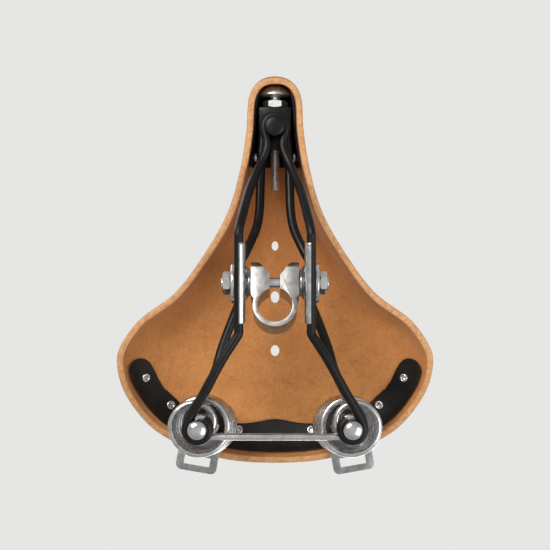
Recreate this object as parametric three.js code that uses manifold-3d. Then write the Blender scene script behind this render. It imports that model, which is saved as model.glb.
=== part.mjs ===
// A sprung leather bicycle saddle on a two-wire undercarriage, with its seat-post clamp.
// Millimetres. +X is the rider's left, +Y the rear, +Z up. The origin is the middle of the
// clamp's seat-post socket. Every piece is one closed solid in a mesh of its own.
import * as THREE from "three";
import { mergeVertices } from "three/addons/utils/BufferGeometryUtils.js";
import Module from "manifold-3d";

const wasm = await Module();
wasm.setup();
const { clamp, degToRad, lerp, smoothstep } = THREE.MathUtils;

// Gaps
const clearance = 0.3;

// Leather top: the rim's plan, its heights above the socket, and how square its section is
const leatherLength = 260.6;
const leatherWidth = 212;
const leatherThickness = 4.5;
const noseOverhang = 153.5;
const crownStartBehindNose = 17;
const crownEndBeforeRear = 49.6;
const noseBulge = 3.3;
const rimPlan = [
  [0.0, 0.0],
  [0.075, 0.005],
  [0.129, 0.021],
  [0.164, 0.051],
  [0.18, 0.139],
  [0.221, 0.242],
  [0.296, 0.346],
  [0.436, 0.448],
  [0.625, 0.55],
  [0.865, 0.625],
  [0.988, 0.7],
  [1.0, 0.738],
  [0.962, 0.807],
  [0.826, 0.891],
  [0.675, 0.938],
  [0.358, 0.987],
  [0.0, 1.0],
];
const crownHeights = [71.5, 72, 70, 68, 67.5, 70, 77, 83.5, 85];
const rimHeights = [33, 30, 27, 25, 26, 31, 38, 49, 57];
const squareness = [3, 3, 2.8, 2.6, 2.4, 2.3, 2.2, 2.2, 2.2];
const ventSizes = [
  { behindNose: 111.7, width: 4.6, length: 6.4 },
  { behindNose: 147, width: 5.8, length: 8 },
  { behindNose: 184.4, width: 6, length: 7.8 },
];

// Plates riveted under the leather
const plateThickness = 1.8;
const nosePlateThickness = 1.2;
const nosePlateLength = 58;
const nosePlateLowest = 36;
const cantleStart = 0.612;
const cantleRimMargin = 7.5;
const cantleBand = 20;
const cantleWingBand = 14;
const cantleWidening = 0.1;
const cantleEndRound = 0.03;
const cantleEndBlunt = 0.25;
const springLobeRadius = 13;
const cantleRivets = [
  { along: 0.649, fromRim: 13 },
  { along: 0.722, fromRim: 19 },
  { along: 0.894, fromRim: 20.5 },
];
const noseRivets = [
  { along: 0.085, fall: 0.6 },
  { along: 0.165, fall: 0.62 },
];
const rivetShank = 2;
const rivetHead = 4.3;
const rivetHeadRise = 1.6;
const rivetFlange = 2.8;
const rivetFlangeGap = 0.6;
const rivetBore = 1.2;
const badgeWidth = 46;
const badgeHeight = 13;
const badgeThickness = 0.9;
const badgeBelowMiddle = 2;

// Seat-post clamp
const seatPostDiameter = 22.2;
const seatTubeLean = degToRad(16);
const bandWall = 3;
const bandHeight = 22;
const earReach = 30.5;
const earHalfWidth = 15.4;
const earRadius = 13.5;
const earCorner = 3.6;
const clampSlot = 6.8;
const notchWidth = 23;
const notchDepth = 11;
const crossBoltReach = 17.2;
const crossBoltDiameter = 7;
const clampNutAcrossFlats = 13;
const clampNutThickness = 5;
const boltEndStand = 1;

// Cradle cheeks that grip the wires
const hubThickness = 1.9;
const hubRadius = 9;
const innerDiscRadius = 11.5;
const cheekWall = 1.1;
const lowerGrooveLength = 52;
const upperGrooveLength = 12;
const outerDiscRadius = 13;
const outerDiscThickness = 2;
const grooveDepth = 1.3;

// Wires, tie rod and bolts of the undercarriage
const wireDiameter = 6;
const wireHalfSpacing = 23.2;
const wireSplit = 23;
const slideTravel = 3;
const gripLead = 3;
const noseLoopPlay = 0.9;
const noseBoltY = -120.5;
const noseLoopHeight = 29.9;
const rearBoltX = 49.7;
const rearBoltBeforeRear = 29.9;
const rearEyePlay = 0.7;
const rearEyeHeight = -3;
const rearBoltDiameter = 7.2;
const rearBoltHeadRadius = 6.2;
const rearBoltHeadRise = 3.4;
const rearNutAcrossFlats = 13;
const rearNutThickness = 5;
const tieRodDiameter = 4.7;
const tieRodBehindBolt = 6;
const tieRodLug = 8.8;
// Each waypoint is the share of the way along, of the spread and of the drop between two ends.
const lowerFrontBends = [
  [0.18, -0.13, 0.02],
  [0.355, 0.16, 0.1],
  [0.59, 0.58, 0.4],
  [0.84, 0.86, 0.82],
];
const upperFrontBends = [
  [0.23, 0.12, 0.01],
  [0.446, 0.157, 0.11],
  [0.623, 0.2, 0.31],
  [0.745, 0.33, 0.54],
  [0.9, 0.72, 0.9],
];
const lowerRearBends = [
  [0.1, 0.11, 0],
  [0.25, 0.285, 0.05],
  [0.45, 0.49, 0.25],
  [0.65, 0.69, 0.6],
  [0.845, 0.9, 0.92],
];
const upperRearBends = [
  [0.1, 0.09, 0],
  [0.237, 0.22, 0.1],
  [0.395, 0.353, 0.25],
  [0.549, 0.46, 0.48],
  [0.7, 0.63, 0.8],
  [0.86, 0.88, 1],
];

// Springs
const springWire = 4.2;
const springRadius = 18.2;
const springEyeRadius = 6.2;
const springTurns = 4.5;
const springTopX = 45.6;
const springTopBeforeRear = 27.6;
const springTopHeight = 47.5;
const springStudDiameter = 6;
const springSeatRadius = 6.5;
const seatNutAcrossFlats = 10;
const seatNutThickness = 4.5;

// Nose tensioner
const pinAboveShackle = 9;
const pinHeadRadius = 10;
const pinHeadDepth = 5.8;
const pinHeadLip = 1.2;
const pinNeckDiameter = 7.1;
const pinThread = 6;
const pinTail = 27;
const tensionTravel = 2;
const tensionNutAcrossFlats = 15;
const tensionNutThickness = 4.9;
const shackleWidth = 21.8;
const shackleLength = 28.4;
const shackleFrontReach = 14;
const shacklePlate = 2.5;
const shackleWallRise = 13;
const shackleLip = 3;
const noseShankDiameter = 6.8;
const noseCapRadius = 6.6;
const noseCapRise = 4;
const noseRivetHeadRadius = 5.4;
const noseRivetHeadRise = 1.8;

// Bag loops
const loopX = 52;
const loopWidth = 28;
const loopThickness = 1.6;
const loopPastRear = 4.9;
const loopLowest = 49.5;
const loopShelfHeight = 51.2;
const loopTabBeforeRear = 20.1;
const loopTabRise = 14;
const loopSlotWidth = 17.5;
const loopSlotDepth = 6.2;
const loopRearBar = 4.2;
const loopSkew = degToRad(10);
const loopCorner = 4;

// Derived places
const noseY = -noseOverhang;
const rearY = noseY + leatherLength;
const crownStartY = noseY + crownStartBehindNose;
const crownEndY = rearY - crownEndBeforeRear;
const boltY = -crossBoltReach * Math.cos(seatTubeLean);
const boltZ = crossBoltReach * Math.sin(seatTubeLean);
const wireRadius = wireDiameter / 2;
const wireHeights = { lower: boltZ - wireSplit / 2, upper: boltZ + wireSplit / 2 };
const stackStep = wireDiameter + clearance;
const noseTop = noseLoopHeight + stackStep + wireRadius + clearance;
const cantleInset = leatherThickness + clearance;
const pinHeight = noseTop + pinAboveShackle;
const noseLoopRadius = noseShankDiameter / 2 + wireRadius + noseLoopPlay;
const rearEyeRadius = rearBoltDiameter / 2 + wireRadius + rearEyePlay;
const rearBoltY = rearY - rearBoltBeforeRear;
const springTopY = rearY - springTopBeforeRear;
const loopReach = rearY + loopPastRear;
const loopTabY = rearY - loopTabBeforeRear;
const sides = [
  ["left", 1],
  ["right", -1],
];

const saddle = new THREE.Group();

// Finishes
function finish(color, roughness, metalness) {
  return () => new THREE.MeshStandardMaterial({ color, roughness, metalness });
}
const leather = finish(0xc98a4b, 0.75, 0);
const enamel = finish(0x17171a, 0.35, 0.1);
const chrome = finish(0xd7d8da, 0.16, 1);
const castSteel = finish(0x9c9b98, 0.42, 0.95);

// A closed three.js geometry as a solid that can be joined and cut.
function solidOf(geometry) {
  const bare = new THREE.BufferGeometry();
  bare.setAttribute("position", geometry.getAttribute("position"));
  bare.setIndex(geometry.getIndex());
  const merged = mergeVertices(bare, 1e-4);
  const corners = [];
  const index = merged.index.array;
  for (let i = 0; i < index.length; i += 3) {
    const [a, b, c] = index.slice(i, i + 3);
    if (a !== b && b !== c && c !== a) corners.push(a, b, c);
  }
  const vertProperties = new Float32Array(merged.getAttribute("position").array);
  const triVerts = new Uint32Array(corners);
  return new wasm.Manifold(new wasm.Mesh({ numProp: 3, vertProperties, triVerts }));
}

// Adds a solid to a group as a named mesh.
function addPiece(name, solid, material, group = saddle) {
  const { vertProperties, triVerts } = solid.getMesh();
  const geometry = new THREE.BufferGeometry();
  geometry.setAttribute("position", new THREE.BufferAttribute(vertProperties, 3));
  geometry.setIndex(new THREE.BufferAttribute(triVerts, 1));
  geometry.computeVertexNormals();
  const mesh = new THREE.Mesh(geometry, material());
  mesh.name = name;
  group.add(mesh);
}

// Basic shapes
function box([x0, y0, z0], [x1, y1, z1]) {
  const block = new THREE.BoxGeometry(x1 - x0, y1 - y0, z1 - z0);
  return solidOf(block.translate((x0 + x1) / 2, (y0 + y1) / 2, (z0 + z1) / 2));
}

function upright(shape, bottom, top) {
  const prism = new THREE.ExtrudeGeometry(shape, { depth: top - bottom, bevelEnabled: false });
  return solidOf(prism.translate(0, 0, bottom));
}

function barZ(radius, bottom, top, x = 0, y = 0, facets = 24) {
  const bar = new THREE.CylinderGeometry(radius, radius, top - bottom, facets);
  return solidOf(bar.rotateX(Math.PI / 2).translate(x, y, (bottom + top) / 2));
}

function barX(radius, start, end, y, z, facets = 24) {
  const low = Math.min(start, end);
  const high = Math.max(start, end);
  const bar = new THREE.CylinderGeometry(radius, radius, high - low, facets);
  return solidOf(bar.rotateZ(Math.PI / 2).translate((low + high) / 2, y, z));
}

function barY(radius, front, rear, x, z, facets = 24, turn = 0) {
  const bar = new THREE.CylinderGeometry(radius, radius, rear - front, facets);
  return solidOf(bar.rotateY(turn).translate(x, (front + rear) / 2, z));
}

function acrossCorners(acrossFlats) {
  return acrossFlats / Math.sqrt(3);
}

// A turned piece. The profile runs as [radius, distance along the axis], from axis to axis.
function turned(profile, facets = 20) {
  const points = profile.map(([r, along]) => new THREE.Vector2(r, along));
  return new THREE.LatheGeometry(points, facets);
}

function domeProfile(radius, base, rise, steps = 5) {
  const points = [];
  for (let i = 0; i <= steps; i++) {
    const angle = (i / steps) * (Math.PI / 2);
    points.push([radius * Math.cos(angle), base + rise * Math.sin(angle)]);
  }
  points[steps][0] = 0;
  return points;
}

function circleShape(radius, x = 0, y = 0, facets = 24) {
  const points = [];
  for (let i = 0; i < facets; i++) {
    const angle = (i / facets) * 2 * Math.PI;
    points.push(new THREE.Vector2(x + radius * Math.cos(angle), y + radius * Math.sin(angle)));
  }
  return new THREE.Shape(points);
}

// A smooth path whose steps fall evenly between its points, so tight bends get as many as long ones.
class WirePath extends THREE.CatmullRomCurve3 {
  getUtoTmapping(share) {
    return share;
  }
}

// Round wire along a smooth path.
function wireSolid(points, diameter, stepsPerPoint, facets) {
  const extrudePath = new WirePath(points);
  const steps = (points.length - 1) * stepsPerPoint;
  const section = circleShape(diameter / 2, 0, 0, facets);
  return solidOf(new THREE.ExtrudeGeometry(section, { steps, extrudePath }));
}

// The saddle's form

// A smooth value between evenly spaced stations from the nose to the rear.
function alongSaddle(values, y) {
  const last = values.length - 1;
  const place = clamp((y - noseY) / leatherLength, 0, 1) * last;
  const low = Math.min(Math.floor(place), last - 1);
  const t = place - low;
  const a = values[Math.max(low - 1, 0)];
  const b = values[low];
  const c = values[low + 1];
  const d = values[Math.min(low + 2, last)];
  const bend = 2 * a - 5 * b + 4 * c - d + t * (3 * (b - c) + d - a);
  return b + 0.5 * t * (c - a + t * bend);
}

const leftRim = rimPlan.map(([wide, along]) => {
  return new THREE.Vector3((wide * leatherWidth) / 2, noseY + along * leatherLength, 0);
});
const rightRim = leftRim.slice(1, -1).reverse();
const rimCurve = new THREE.CatmullRomCurve3(
  [...leftRim, ...rightRim.map((p) => new THREE.Vector3(-p.x, p.y, 0))],
  true,
);

// Turn runs round the rim: 0 at the nose tip, 1 at the middle of the rear, 2 at the nose again.
function rimPoint(turn) {
  const wrapped = ((turn % 2) + 2) % 2;
  const point = rimCurve.getPointAt(Math.min(wrapped, 2 - wrapped) / 2);
  return [wrapped <= 1 ? point.x : -point.x, point.y];
}

// A point of the outer surface. Fall is 0 on the crown line and 1 at the rim.
function outerPoint(turn, fall) {
  const [rimX, rimY] = rimPoint(turn);
  const crownY = clamp(rimY, crownStartY, crownEndY);
  const power = 2 / alongSaddle(squareness, rimY);
  const angle = (fall * Math.PI) / 2;
  const outward = Math.sin(angle) ** power;
  const upward = fall < 1 ? Math.cos(angle) ** power : 0;
  const reach = Math.hypot(rimX, rimY - crownY);
  const ahead = Math.max(0, crownY - rimY) / reach;
  const share = outward + (noseBulge * ahead ** 2 * Math.sin(Math.PI * upward)) / reach;
  const rimZ = alongSaddle(rimHeights, rimY);
  const crownZ = alongSaddle(crownHeights, crownY);
  const y = crownY + (rimY - crownY) * share;
  return new THREE.Vector3(rimX * share, y, rimZ + (crownZ - rimZ) * upward);
}

// The inward direction of the surface at a point.
function inwardAt(turn, fall) {
  const step = 1e-3;
  const around = outerPoint(turn + step, fall).sub(outerPoint(turn - step, fall));
  const lower = outerPoint(turn, Math.min(fall + step, 1));
  const down = lower.sub(outerPoint(turn, fall - step));
  return around.cross(down).normalize();
}

function formPoint(turn, fall, inset) {
  const point = outerPoint(turn, fall);
  if (fall === 0) return point.setZ(point.z - inset);
  return point.addScaledVector(inwardAt(turn, fall), inset);
}

// The form's skin between two depths below its outer surface.
function formShell(outerInset, innerInset, around = 64, rings = 7) {
  const rows = [];
  for (let ring = 0; ring <= rings; ring++) rows.push([ring / rings, outerInset]);
  for (let ring = rings; ring >= 0; ring--) rows.push([ring / rings, innerInset]);
  const positions = [];
  for (const [fall, inset] of rows) {
    for (let i = 0; i < around; i++) {
      positions.push(...formPoint((2 * i) / around, fall, inset).toArray());
    }
  }
  const index = [];
  for (let row = 0; row + 1 < rows.length; row++) {
    for (let i = 0; i < around; i++) {
      const a = row * around + i;
      const b = row * around + ((i + 1) % around);
      const c = a + around;
      const d = b + around;
      // The diagonals mirror each other from side to side.
      if (i < around / 2) index.push(a, c, b, b, c, d);
      else index.push(a, c, d, a, d, b);
    }
  }
  const geometry = new THREE.BufferGeometry();
  geometry.setAttribute("position", new THREE.Float32BufferAttribute(positions, 3));
  geometry.setIndex(index);
  return solidOf(geometry);
}

// The fall at which the surface lies a given distance inside the rim, in plan.
function fallAt(turn, fromRim) {
  const [rimX, rimY] = rimPoint(turn);
  const reach = Math.hypot(rimX, rimY - clamp(rimY, crownStartY, crownEndY));
  const share = 1 - fromRim / reach;
  return (Math.asin(share ** (alongSaddle(squareness, rimY) / 2)) * 2) / Math.PI;
}

// Rivets through the leather and a plate below it

// A matrix that stands +Y of a turned piece along the outward direction at a point of the form.
function standOn(turn, fall) {
  const outward = inwardAt(turn, fall).negate();
  const turnTo = new THREE.Quaternion().setFromUnitVectors(new THREE.Vector3(0, 1, 0), outward);
  return new THREE.Matrix4().compose(outerPoint(turn, fall), turnTo, new THREE.Vector3(1, 1, 1));
}

function rivetGeometry(plate) {
  const under = -(cantleInset + plate + rivetFlangeGap);
  const profile = [
    [0, under + 1.2],
    [rivetBore, under + 1.2],
    [rivetBore, under - 1],
    [rivetFlange, under - 0.6],
    [rivetFlange, under],
    [rivetShank, under],
    [rivetShank, clearance],
    [rivetHead, clearance],
    ...domeProfile(rivetHead, clearance + 0.3, rivetHeadRise - 0.3, 2),
  ];
  return turned(profile, 10);
}

function rivetHole() {
  const depth = 30;
  const radius = rivetShank + clearance;
  return new THREE.CylinderGeometry(radius, radius, depth, 10);
}

const rivetSites = [];
for (const [side, sign] of sides) {
  cantleRivets.forEach(({ along, fromRim }, i) => {
    const turn = sign > 0 ? along : 2 - along;
    const name = `cantle_rivet_${side}_${i + 1}`;
    rivetSites.push({ name, turn, fall: fallAt(turn, fromRim), plate: plateThickness });
  });
  noseRivets.forEach(({ along, fall }, i) => {
    const turn = sign > 0 ? along : 2 - along;
    const name = `nose_rivet_${side}_${i + 1}`;
    rivetSites.push({ name, turn, fall, plate: nosePlateThickness });
  });
}

function drillRivetHoles(solid) {
  let drilled = solid;
  for (const { turn, fall } of rivetSites) {
    drilled = drilled.subtract(solidOf(rivetHole().applyMatrix4(standOn(turn, fall))));
  }
  return drilled;
}

// Leather top
function makeLeatherTop() {
  const middleStation = (crownHeights.length - 1) / 2;
  let top = formShell(0, leatherThickness);
  for (const { behindNose, width, length } of ventSizes) {
    const vent = new THREE.CylinderGeometry(1, 1, 60, 16).rotateX(Math.PI / 2);
    vent.scale(width / 2, length / 2, 1).translate(0, noseY + behindNose, crownHeights[middleStation]);
    top = top.subtract(solidOf(vent));
  }
  addPiece("leather_top", drillRivetHoles(top), leather);
}

// Plates, each a stretch of the same form below the leather
function planInset(turn, distance) {
  const [rimX, rimY] = rimPoint(turn);
  const crownY = clamp(rimY, crownStartY, crownEndY);
  const share = 1 - distance / Math.hypot(rimX, rimY - crownY);
  return new THREE.Vector2(rimX * share, crownY + (rimY - crownY) * share);
}

function cantleOutline() {
  const steps = 40;
  const outer = [];
  const inner = [];
  for (let i = 0; i <= steps; i++) {
    const turn = lerp(cantleStart, 2 - cantleStart, i / steps);
    const pastEnd = Math.min(turn - cantleStart, 2 - cantleStart - turn);
    const widened = smoothstep(pastEnd, 0, cantleWidening);
    const band = lerp(cantleWingBand, cantleBand, widened);
    const middle = cantleRimMargin + band / 2;
    const fromEnd = pastEnd / cantleEndRound;
    const full = Math.sqrt(1 - (1 - Math.min(fromEnd, 1)) ** 2);
    const half = (Math.max(full, cantleEndBlunt) * band) / 2;
    outer.push(planInset(turn, middle - half));
    inner.push(planInset(turn, middle + half));
  }
  return new THREE.Shape([...outer, ...inner.reverse()]);
}

// Everything of the form down to the underside of a plate, so that what is cut by it fits below.
function seatCutter(plate) {
  return formShell(-12, cantleInset + plate + clearance);
}

function makeCantlePlate() {
  const high = 110;
  let region = upright(cantleOutline(), 0, high);
  for (const [, sign] of sides) {
    const lobe = circleShape(springLobeRadius, sign * springTopX, springTopY);
    region = region.add(upright(lobe, 0, high));
  }
  let plate = formShell(cantleInset, cantleInset + plateThickness).intersect(region);
  for (const [, sign] of sides) {
    const hole = springStudDiameter / 2 + clearance;
    plate = plate.subtract(barZ(hole, 0, high, sign * springTopX, springTopY));
  }
  addPiece("cantle_plate", drillRivetHoles(plate), enamel);
}

// The pin's head bears on the inside of the nose plate, which is dished for it and open below it.
const pinFrontY = noseY - noseBulge + cantleInset + nosePlateThickness + 2 * clearance;

function pinHeadSphere() {
  const sphere = (pinHeadRadius ** 2 + pinHeadDepth ** 2) / (2 * pinHeadDepth);
  return { sphere, y: pinFrontY + sphere };
}

function makeNosePlate() {
  const rear = noseY + nosePlateLength;
  const region = box([-60, noseY - 20, nosePlateLowest], [60, rear, 120]);
  const { sphere, y } = pinHeadSphere();
  const dish = new THREE.SphereGeometry(sphere + clearance, 32, 20).translate(0, y, pinHeight);
  const headBack = pinFrontY + pinHeadDepth;
  const mouth = headBack + pinHeadLip + tensionTravel + clearance;
  const dished = solidOf(dish)
    .intersect(box([-60, y - 60, 0], [60, headBack, 90]))
    .add(barY(pinHeadRadius + clearance, headBack - 0.5, mouth, 0, pinHeight));
  const shell = formShell(cantleInset, cantleInset + nosePlateThickness);
  const mouthOpening = box([-60, noseY - 20, 0], [60, headBack + pinHeadLip, pinHeight]);
  const plate = shell.intersect(region).subtract(dished).subtract(mouthOpening);
  addPiece("nose_plate", drillRivetHoles(plate), enamel);
}

function makeBadgePlate() {
  const badgeZ = (rimHeights.at(-1) + crownHeights.at(-1)) / 2 - badgeBelowMiddle;
  const shape = new THREE.Shape();
  const halfWidth = badgeWidth / 2 - badgeHeight / 2;
  shape.absarc(halfWidth, 0, badgeHeight / 2, -Math.PI / 2, Math.PI / 2, false);
  shape.absarc(-halfWidth, 0, badgeHeight / 2, Math.PI / 2, (3 * Math.PI) / 2, false);
  const blank = new THREE.ExtrudeGeometry(shape, { depth: 40, bevelEnabled: false, curveSegments: 6 });
  blank.rotateX(Math.PI / 2).translate(0, rearY + 20, badgeZ);
  const skin = formShell(-clearance - badgeThickness, -clearance);
  addPiece("rear_badge_plate", skin.intersect(solidOf(blank)), chrome);
}

function makeRivets() {
  for (const { name, turn, fall, plate } of rivetSites) {
    addPiece(name, solidOf(rivetGeometry(plate).applyMatrix4(standOn(turn, fall))), chrome);
  }
}

// Seat-post clamp, built about its own upright bore and leant with the seat tube
function makeClampBand() {
  const outer = seatPostDiameter / 2 + bandWall;
  const half = bandHeight / 2;
  const body = new THREE.Shape();
  body.moveTo(-earHalfWidth, -earReach + earCorner);
  body.quadraticCurveTo(-earHalfWidth, -earReach, -earHalfWidth + earCorner, -earReach);
  body.lineTo(-notchWidth / 2, -earReach);
  body.lineTo(-clampSlot / 2, -earReach + notchDepth);
  body.lineTo(clampSlot / 2, -earReach + notchDepth);
  body.lineTo(notchWidth / 2, -earReach);
  body.lineTo(earHalfWidth - earCorner, -earReach);
  body.quadraticCurveTo(earHalfWidth, -earReach, earHalfWidth, -earReach + earCorner);
  body.lineTo(earHalfWidth, -outer / 2);
  body.absarc(0, 0, outer, -0.3, Math.PI + 0.3, false);
  body.lineTo(-earHalfWidth, -outer / 2);
  const plan = upright(body, -half, half);
  const bandSide = box([-30, -outer, -half], [30, outer, half]);
  const earSide = barX(earRadius, -30, 30, -crossBoltReach, 0, 32);
  const slot = box([-clampSlot / 2, -earReach - 1, -half - 1], [clampSlot / 2, 0, half + 1]);
  const band = plan
    .intersect(bandSide.add(earSide))
    .subtract(barZ(seatPostDiameter / 2, -half - 1, half + 1, 0, 0, 40))
    .subtract(slot)
    .subtract(barX(crossBoltDiameter / 2 + clearance, -30, 30, -crossBoltReach, 0));
  const leant = new THREE.Group();
  leant.rotation.x = -seatTubeLean;
  saddle.add(leant);
  addPiece("seatpost_clamp_band", band, castSteel, leant);
}

// Cheeks, from the clamp's ear outwards along the cross bolt
const hubX = earHalfWidth + clearance;
const discX = hubX + hubThickness;
const innerFaceX = wireHalfSpacing - clearance;
const outerFaceX = wireHalfSpacing + wireRadius + clearance + outerDiscThickness;
const nutX = outerFaceX + clearance;
const boltEndX = nutX + clampNutThickness + boltEndStand;

function wireGroove(sign, z, length) {
  const half = length / 2;
  return barY(wireRadius + clearance, boltY - half, boltY + half, sign * wireHalfSpacing, z, 16);
}

function innerTube(sign, z, length) {
  const half = length / 2;
  const radius = wireRadius + clearance + cheekWall;
  const tube = barY(radius, boltY - half, boltY + half, sign * wireHalfSpacing, z, 16);
  const ends = [sign * discX, sign * innerFaceX].sort((a, b) => a - b);
  return tube.intersect(box([ends[0], boltY - half - 1, z - 9], [ends[1], boltY + half + 1, z + 9]));
}

function makeCheeks() {
  const boltHole = crossBoltDiameter / 2 + clearance;
  for (const [side, sign] of sides) {
    const bore = barX(boltHole, sign * (hubX - 1), sign * (outerFaceX + 1), boltY, boltZ);
    const lowerGroove = wireGroove(sign, wireHeights.lower, lowerGrooveLength + 2);
    const upperGroove = wireGroove(sign, wireHeights.upper, lowerGrooveLength);
    const inner = barX(hubRadius, sign * hubX, sign * (discX + 0.5), boltY, boltZ)
      .add(barX(innerDiscRadius, sign * discX, sign * innerFaceX, boltY, boltZ, 32))
      .add(innerTube(sign, wireHeights.lower, lowerGrooveLength))
      .add(innerTube(sign, wireHeights.upper, upperGrooveLength))
      .subtract(lowerGroove)
      .subtract(upperGroove)
      .subtract(bore);
    addPiece(`inner_cheek_${side}`, inner, chrome);
    const discInnerX = wireHalfSpacing + wireRadius + clearance - grooveDepth;
    const coreRadius = wireSplit / 2 - wireRadius - clearance - 0.7;
    const coreX = innerFaceX + clearance;
    const outer = barX(outerDiscRadius, sign * discInnerX, sign * outerFaceX, boltY, boltZ, 32)
      .add(barX(coreRadius, sign * coreX, sign * (discInnerX + 0.5), boltY, boltZ))
      .subtract(lowerGroove)
      .subtract(upperGroove)
      .subtract(bore);
    addPiece(`outer_cheek_${side}`, outer, chrome);
    const nutEnd = sign * (nutX + clampNutThickness);
    const nut = barX(acrossCorners(clampNutAcrossFlats), sign * nutX, nutEnd, boltY, boltZ, 6);
    addPiece(`clamp_nut_${side}`, nut.subtract(barX(boltHole, -60, 60, boltY, boltZ)), chrome);
  }
  const bolt = barX(crossBoltDiameter / 2, -boltEndX, boltEndX, boltY, boltZ);
  addPiece("clamp_cross_bolt", bolt, chrome);
}

// The two undercarriage wires
function bendsBetween(from, to, bends) {
  return bends.map(([along, spread, drop]) => {
    return new THREE.Vector3(
      lerp(from.x, to.x, spread),
      lerp(from.y, to.y, along),
      lerp(from.z, to.z, drop),
    );
  });
}

// One side of a wire, from the middle of its nose loop to the end of its rear eye.
function wireSide(noseZ, gripZ, eyeZ, gripHalf, frontBends, rearBends) {
  const points = [];
  for (const angle of [0, 30, 60, 90]) {
    const turn = degToRad(angle);
    const x = noseLoopRadius * Math.sin(turn);
    const y = noseBoltY - noseLoopRadius * Math.cos(turn);
    points.push(new THREE.Vector3(x, y, noseZ));
  }
  const loopSide = points[points.length - 1];
  const grip = [-gripHalf - gripLead, -gripHalf, 0, gripHalf, gripHalf + gripLead].map((y) => {
    return new THREE.Vector3(wireHalfSpacing, boltY + y, gripZ);
  });
  const gripRear = grip[grip.length - 1];
  points.push(...bendsBetween(loopSide, grip[0], frontBends), ...grip);
  const eyeStart = new THREE.Vector3(rearBoltX + rearEyeRadius, rearBoltY, eyeZ);
  points.push(...bendsBetween(gripRear, eyeStart, rearBends));
  for (const angle of [0, 40, 80, 120, 160, 200, 240]) {
    const turn = degToRad(angle);
    const x = rearBoltX + rearEyeRadius * Math.cos(turn);
    const y = rearBoltY + rearEyeRadius * Math.sin(turn);
    points.push(new THREE.Vector3(x, y, eyeZ));
  }
  return points;
}

function addWire(name, side) {
  const mirrored = side.slice(1).map((p) => new THREE.Vector3(-p.x, p.y, p.z));
  const path = [...mirrored.reverse(), ...side];
  addPiece(name, wireSolid(path, wireDiameter, 2, 8), enamel);
}

function makeWires() {
  const lowerGrip = lowerGrooveLength / 2 + slideTravel;
  const upperGrip = upperGrooveLength / 2 + slideTravel;
  const lowerNose = noseLoopHeight;
  const upperNose = noseLoopHeight + stackStep;
  const lowerEye = rearEyeHeight;
  const upperEye = rearEyeHeight + stackStep + 0.1;
  const lower = wireSide(
    lowerNose,
    wireHeights.lower,
    lowerEye,
    lowerGrip,
    lowerFrontBends,
    lowerRearBends,
  );
  const upper = wireSide(
    upperNose,
    wireHeights.upper,
    upperEye,
    upperGrip,
    upperFrontBends,
    upperRearBends,
  );
  addWire("lower_rail", lower);
  addWire("upper_rail", upper);
}

// Heights of the stack on each rear bolt, from its head upwards
const eyeStackTop = rearEyeHeight + stackStep + 0.1 + wireRadius;
const tieRodZ = eyeStackTop + clearance + tieRodDiameter / 2;
const springFootZ = tieRodZ + tieRodDiameter / 2 + clearance + springWire / 2;
const footNutZ = springFootZ + springWire / 2 + clearance;

function makeTieRod() {
  const half = tieRodDiameter / 2;
  const rodY = rearBoltY + tieRodBehindBolt;
  let rod = barX(half, -rearBoltX, rearBoltX, rodY, tieRodZ, 12);
  for (const [, sign] of sides) {
    const x = sign * rearBoltX;
    rod = rod.add(barZ(tieRodLug, tieRodZ - half, tieRodZ + half, x, rearBoltY));
  }
  for (const [, sign] of sides) {
    const hole = rearBoltDiameter / 2 + clearance;
    rod = rod.subtract(barZ(hole, -50, 90, sign * rearBoltX, rearBoltY));
  }
  addPiece("tie_rod", rod, chrome);
}

function makeFootBolts() {
  const headTop = rearEyeHeight - wireRadius - clearance;
  const shank = rearBoltDiameter / 2;
  const top = footNutZ + rearNutThickness + boltEndStand;
  const head = domeProfile(rearBoltHeadRadius, -headTop, rearBoltHeadRise);
  const profile = [[0, -top], [shank, -top], [shank, -headTop], ...head];
  for (const [side, sign] of sides) {
    const x = sign * rearBoltX;
    const bolt = turned(profile).rotateX(-Math.PI / 2).translate(x, rearBoltY, 0);
    addPiece(`spring_foot_bolt_${side}`, solidOf(bolt), chrome);
    const corner = acrossCorners(rearNutAcrossFlats);
    const nut = barZ(corner, footNutZ, footNutZ + rearNutThickness, x, rearBoltY, 6);
    const hole = barZ(shank + clearance, -50, 90, x, rearBoltY);
    addPiece(`spring_foot_nut_${side}`, nut.subtract(hole), chrome);
  }
}

// Springs: a flat spiral out of the foot eye, rising turns that lean, and a flat spiral back in
function springPath(sign) {
  const stepsPerTurn = 12;
  const turns = springTurns + 2;
  const steps = Math.round(turns * stepsPerTurn);
  const points = [];
  for (let i = 0; i <= steps; i++) {
    const turn = i / stepsPerTurn;
    const rise = clamp((turn - 1) / springTurns, 0, 1);
    const open = clamp(Math.min(turn, turns - turn), 0, 1);
    const radius = lerp(springEyeRadius, springRadius, smoothstep(open, 0.25, 1));
    const angle = turn * 2 * Math.PI;
    const x = lerp(rearBoltX, springTopX, rise) + radius * Math.cos(angle);
    const y = lerp(rearBoltY, springTopY, rise) + radius * Math.sin(angle);
    const z = lerp(springFootZ, springTopHeight, rise);
    points.push(new THREE.Vector3(sign * x, y, z));
  }
  return points;
}

function makeSprings() {
  for (const [side, sign] of sides) {
    addPiece(`spring_${side}`, wireSolid(springPath(sign), springWire, 1, 6), chrome);
  }
}

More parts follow.
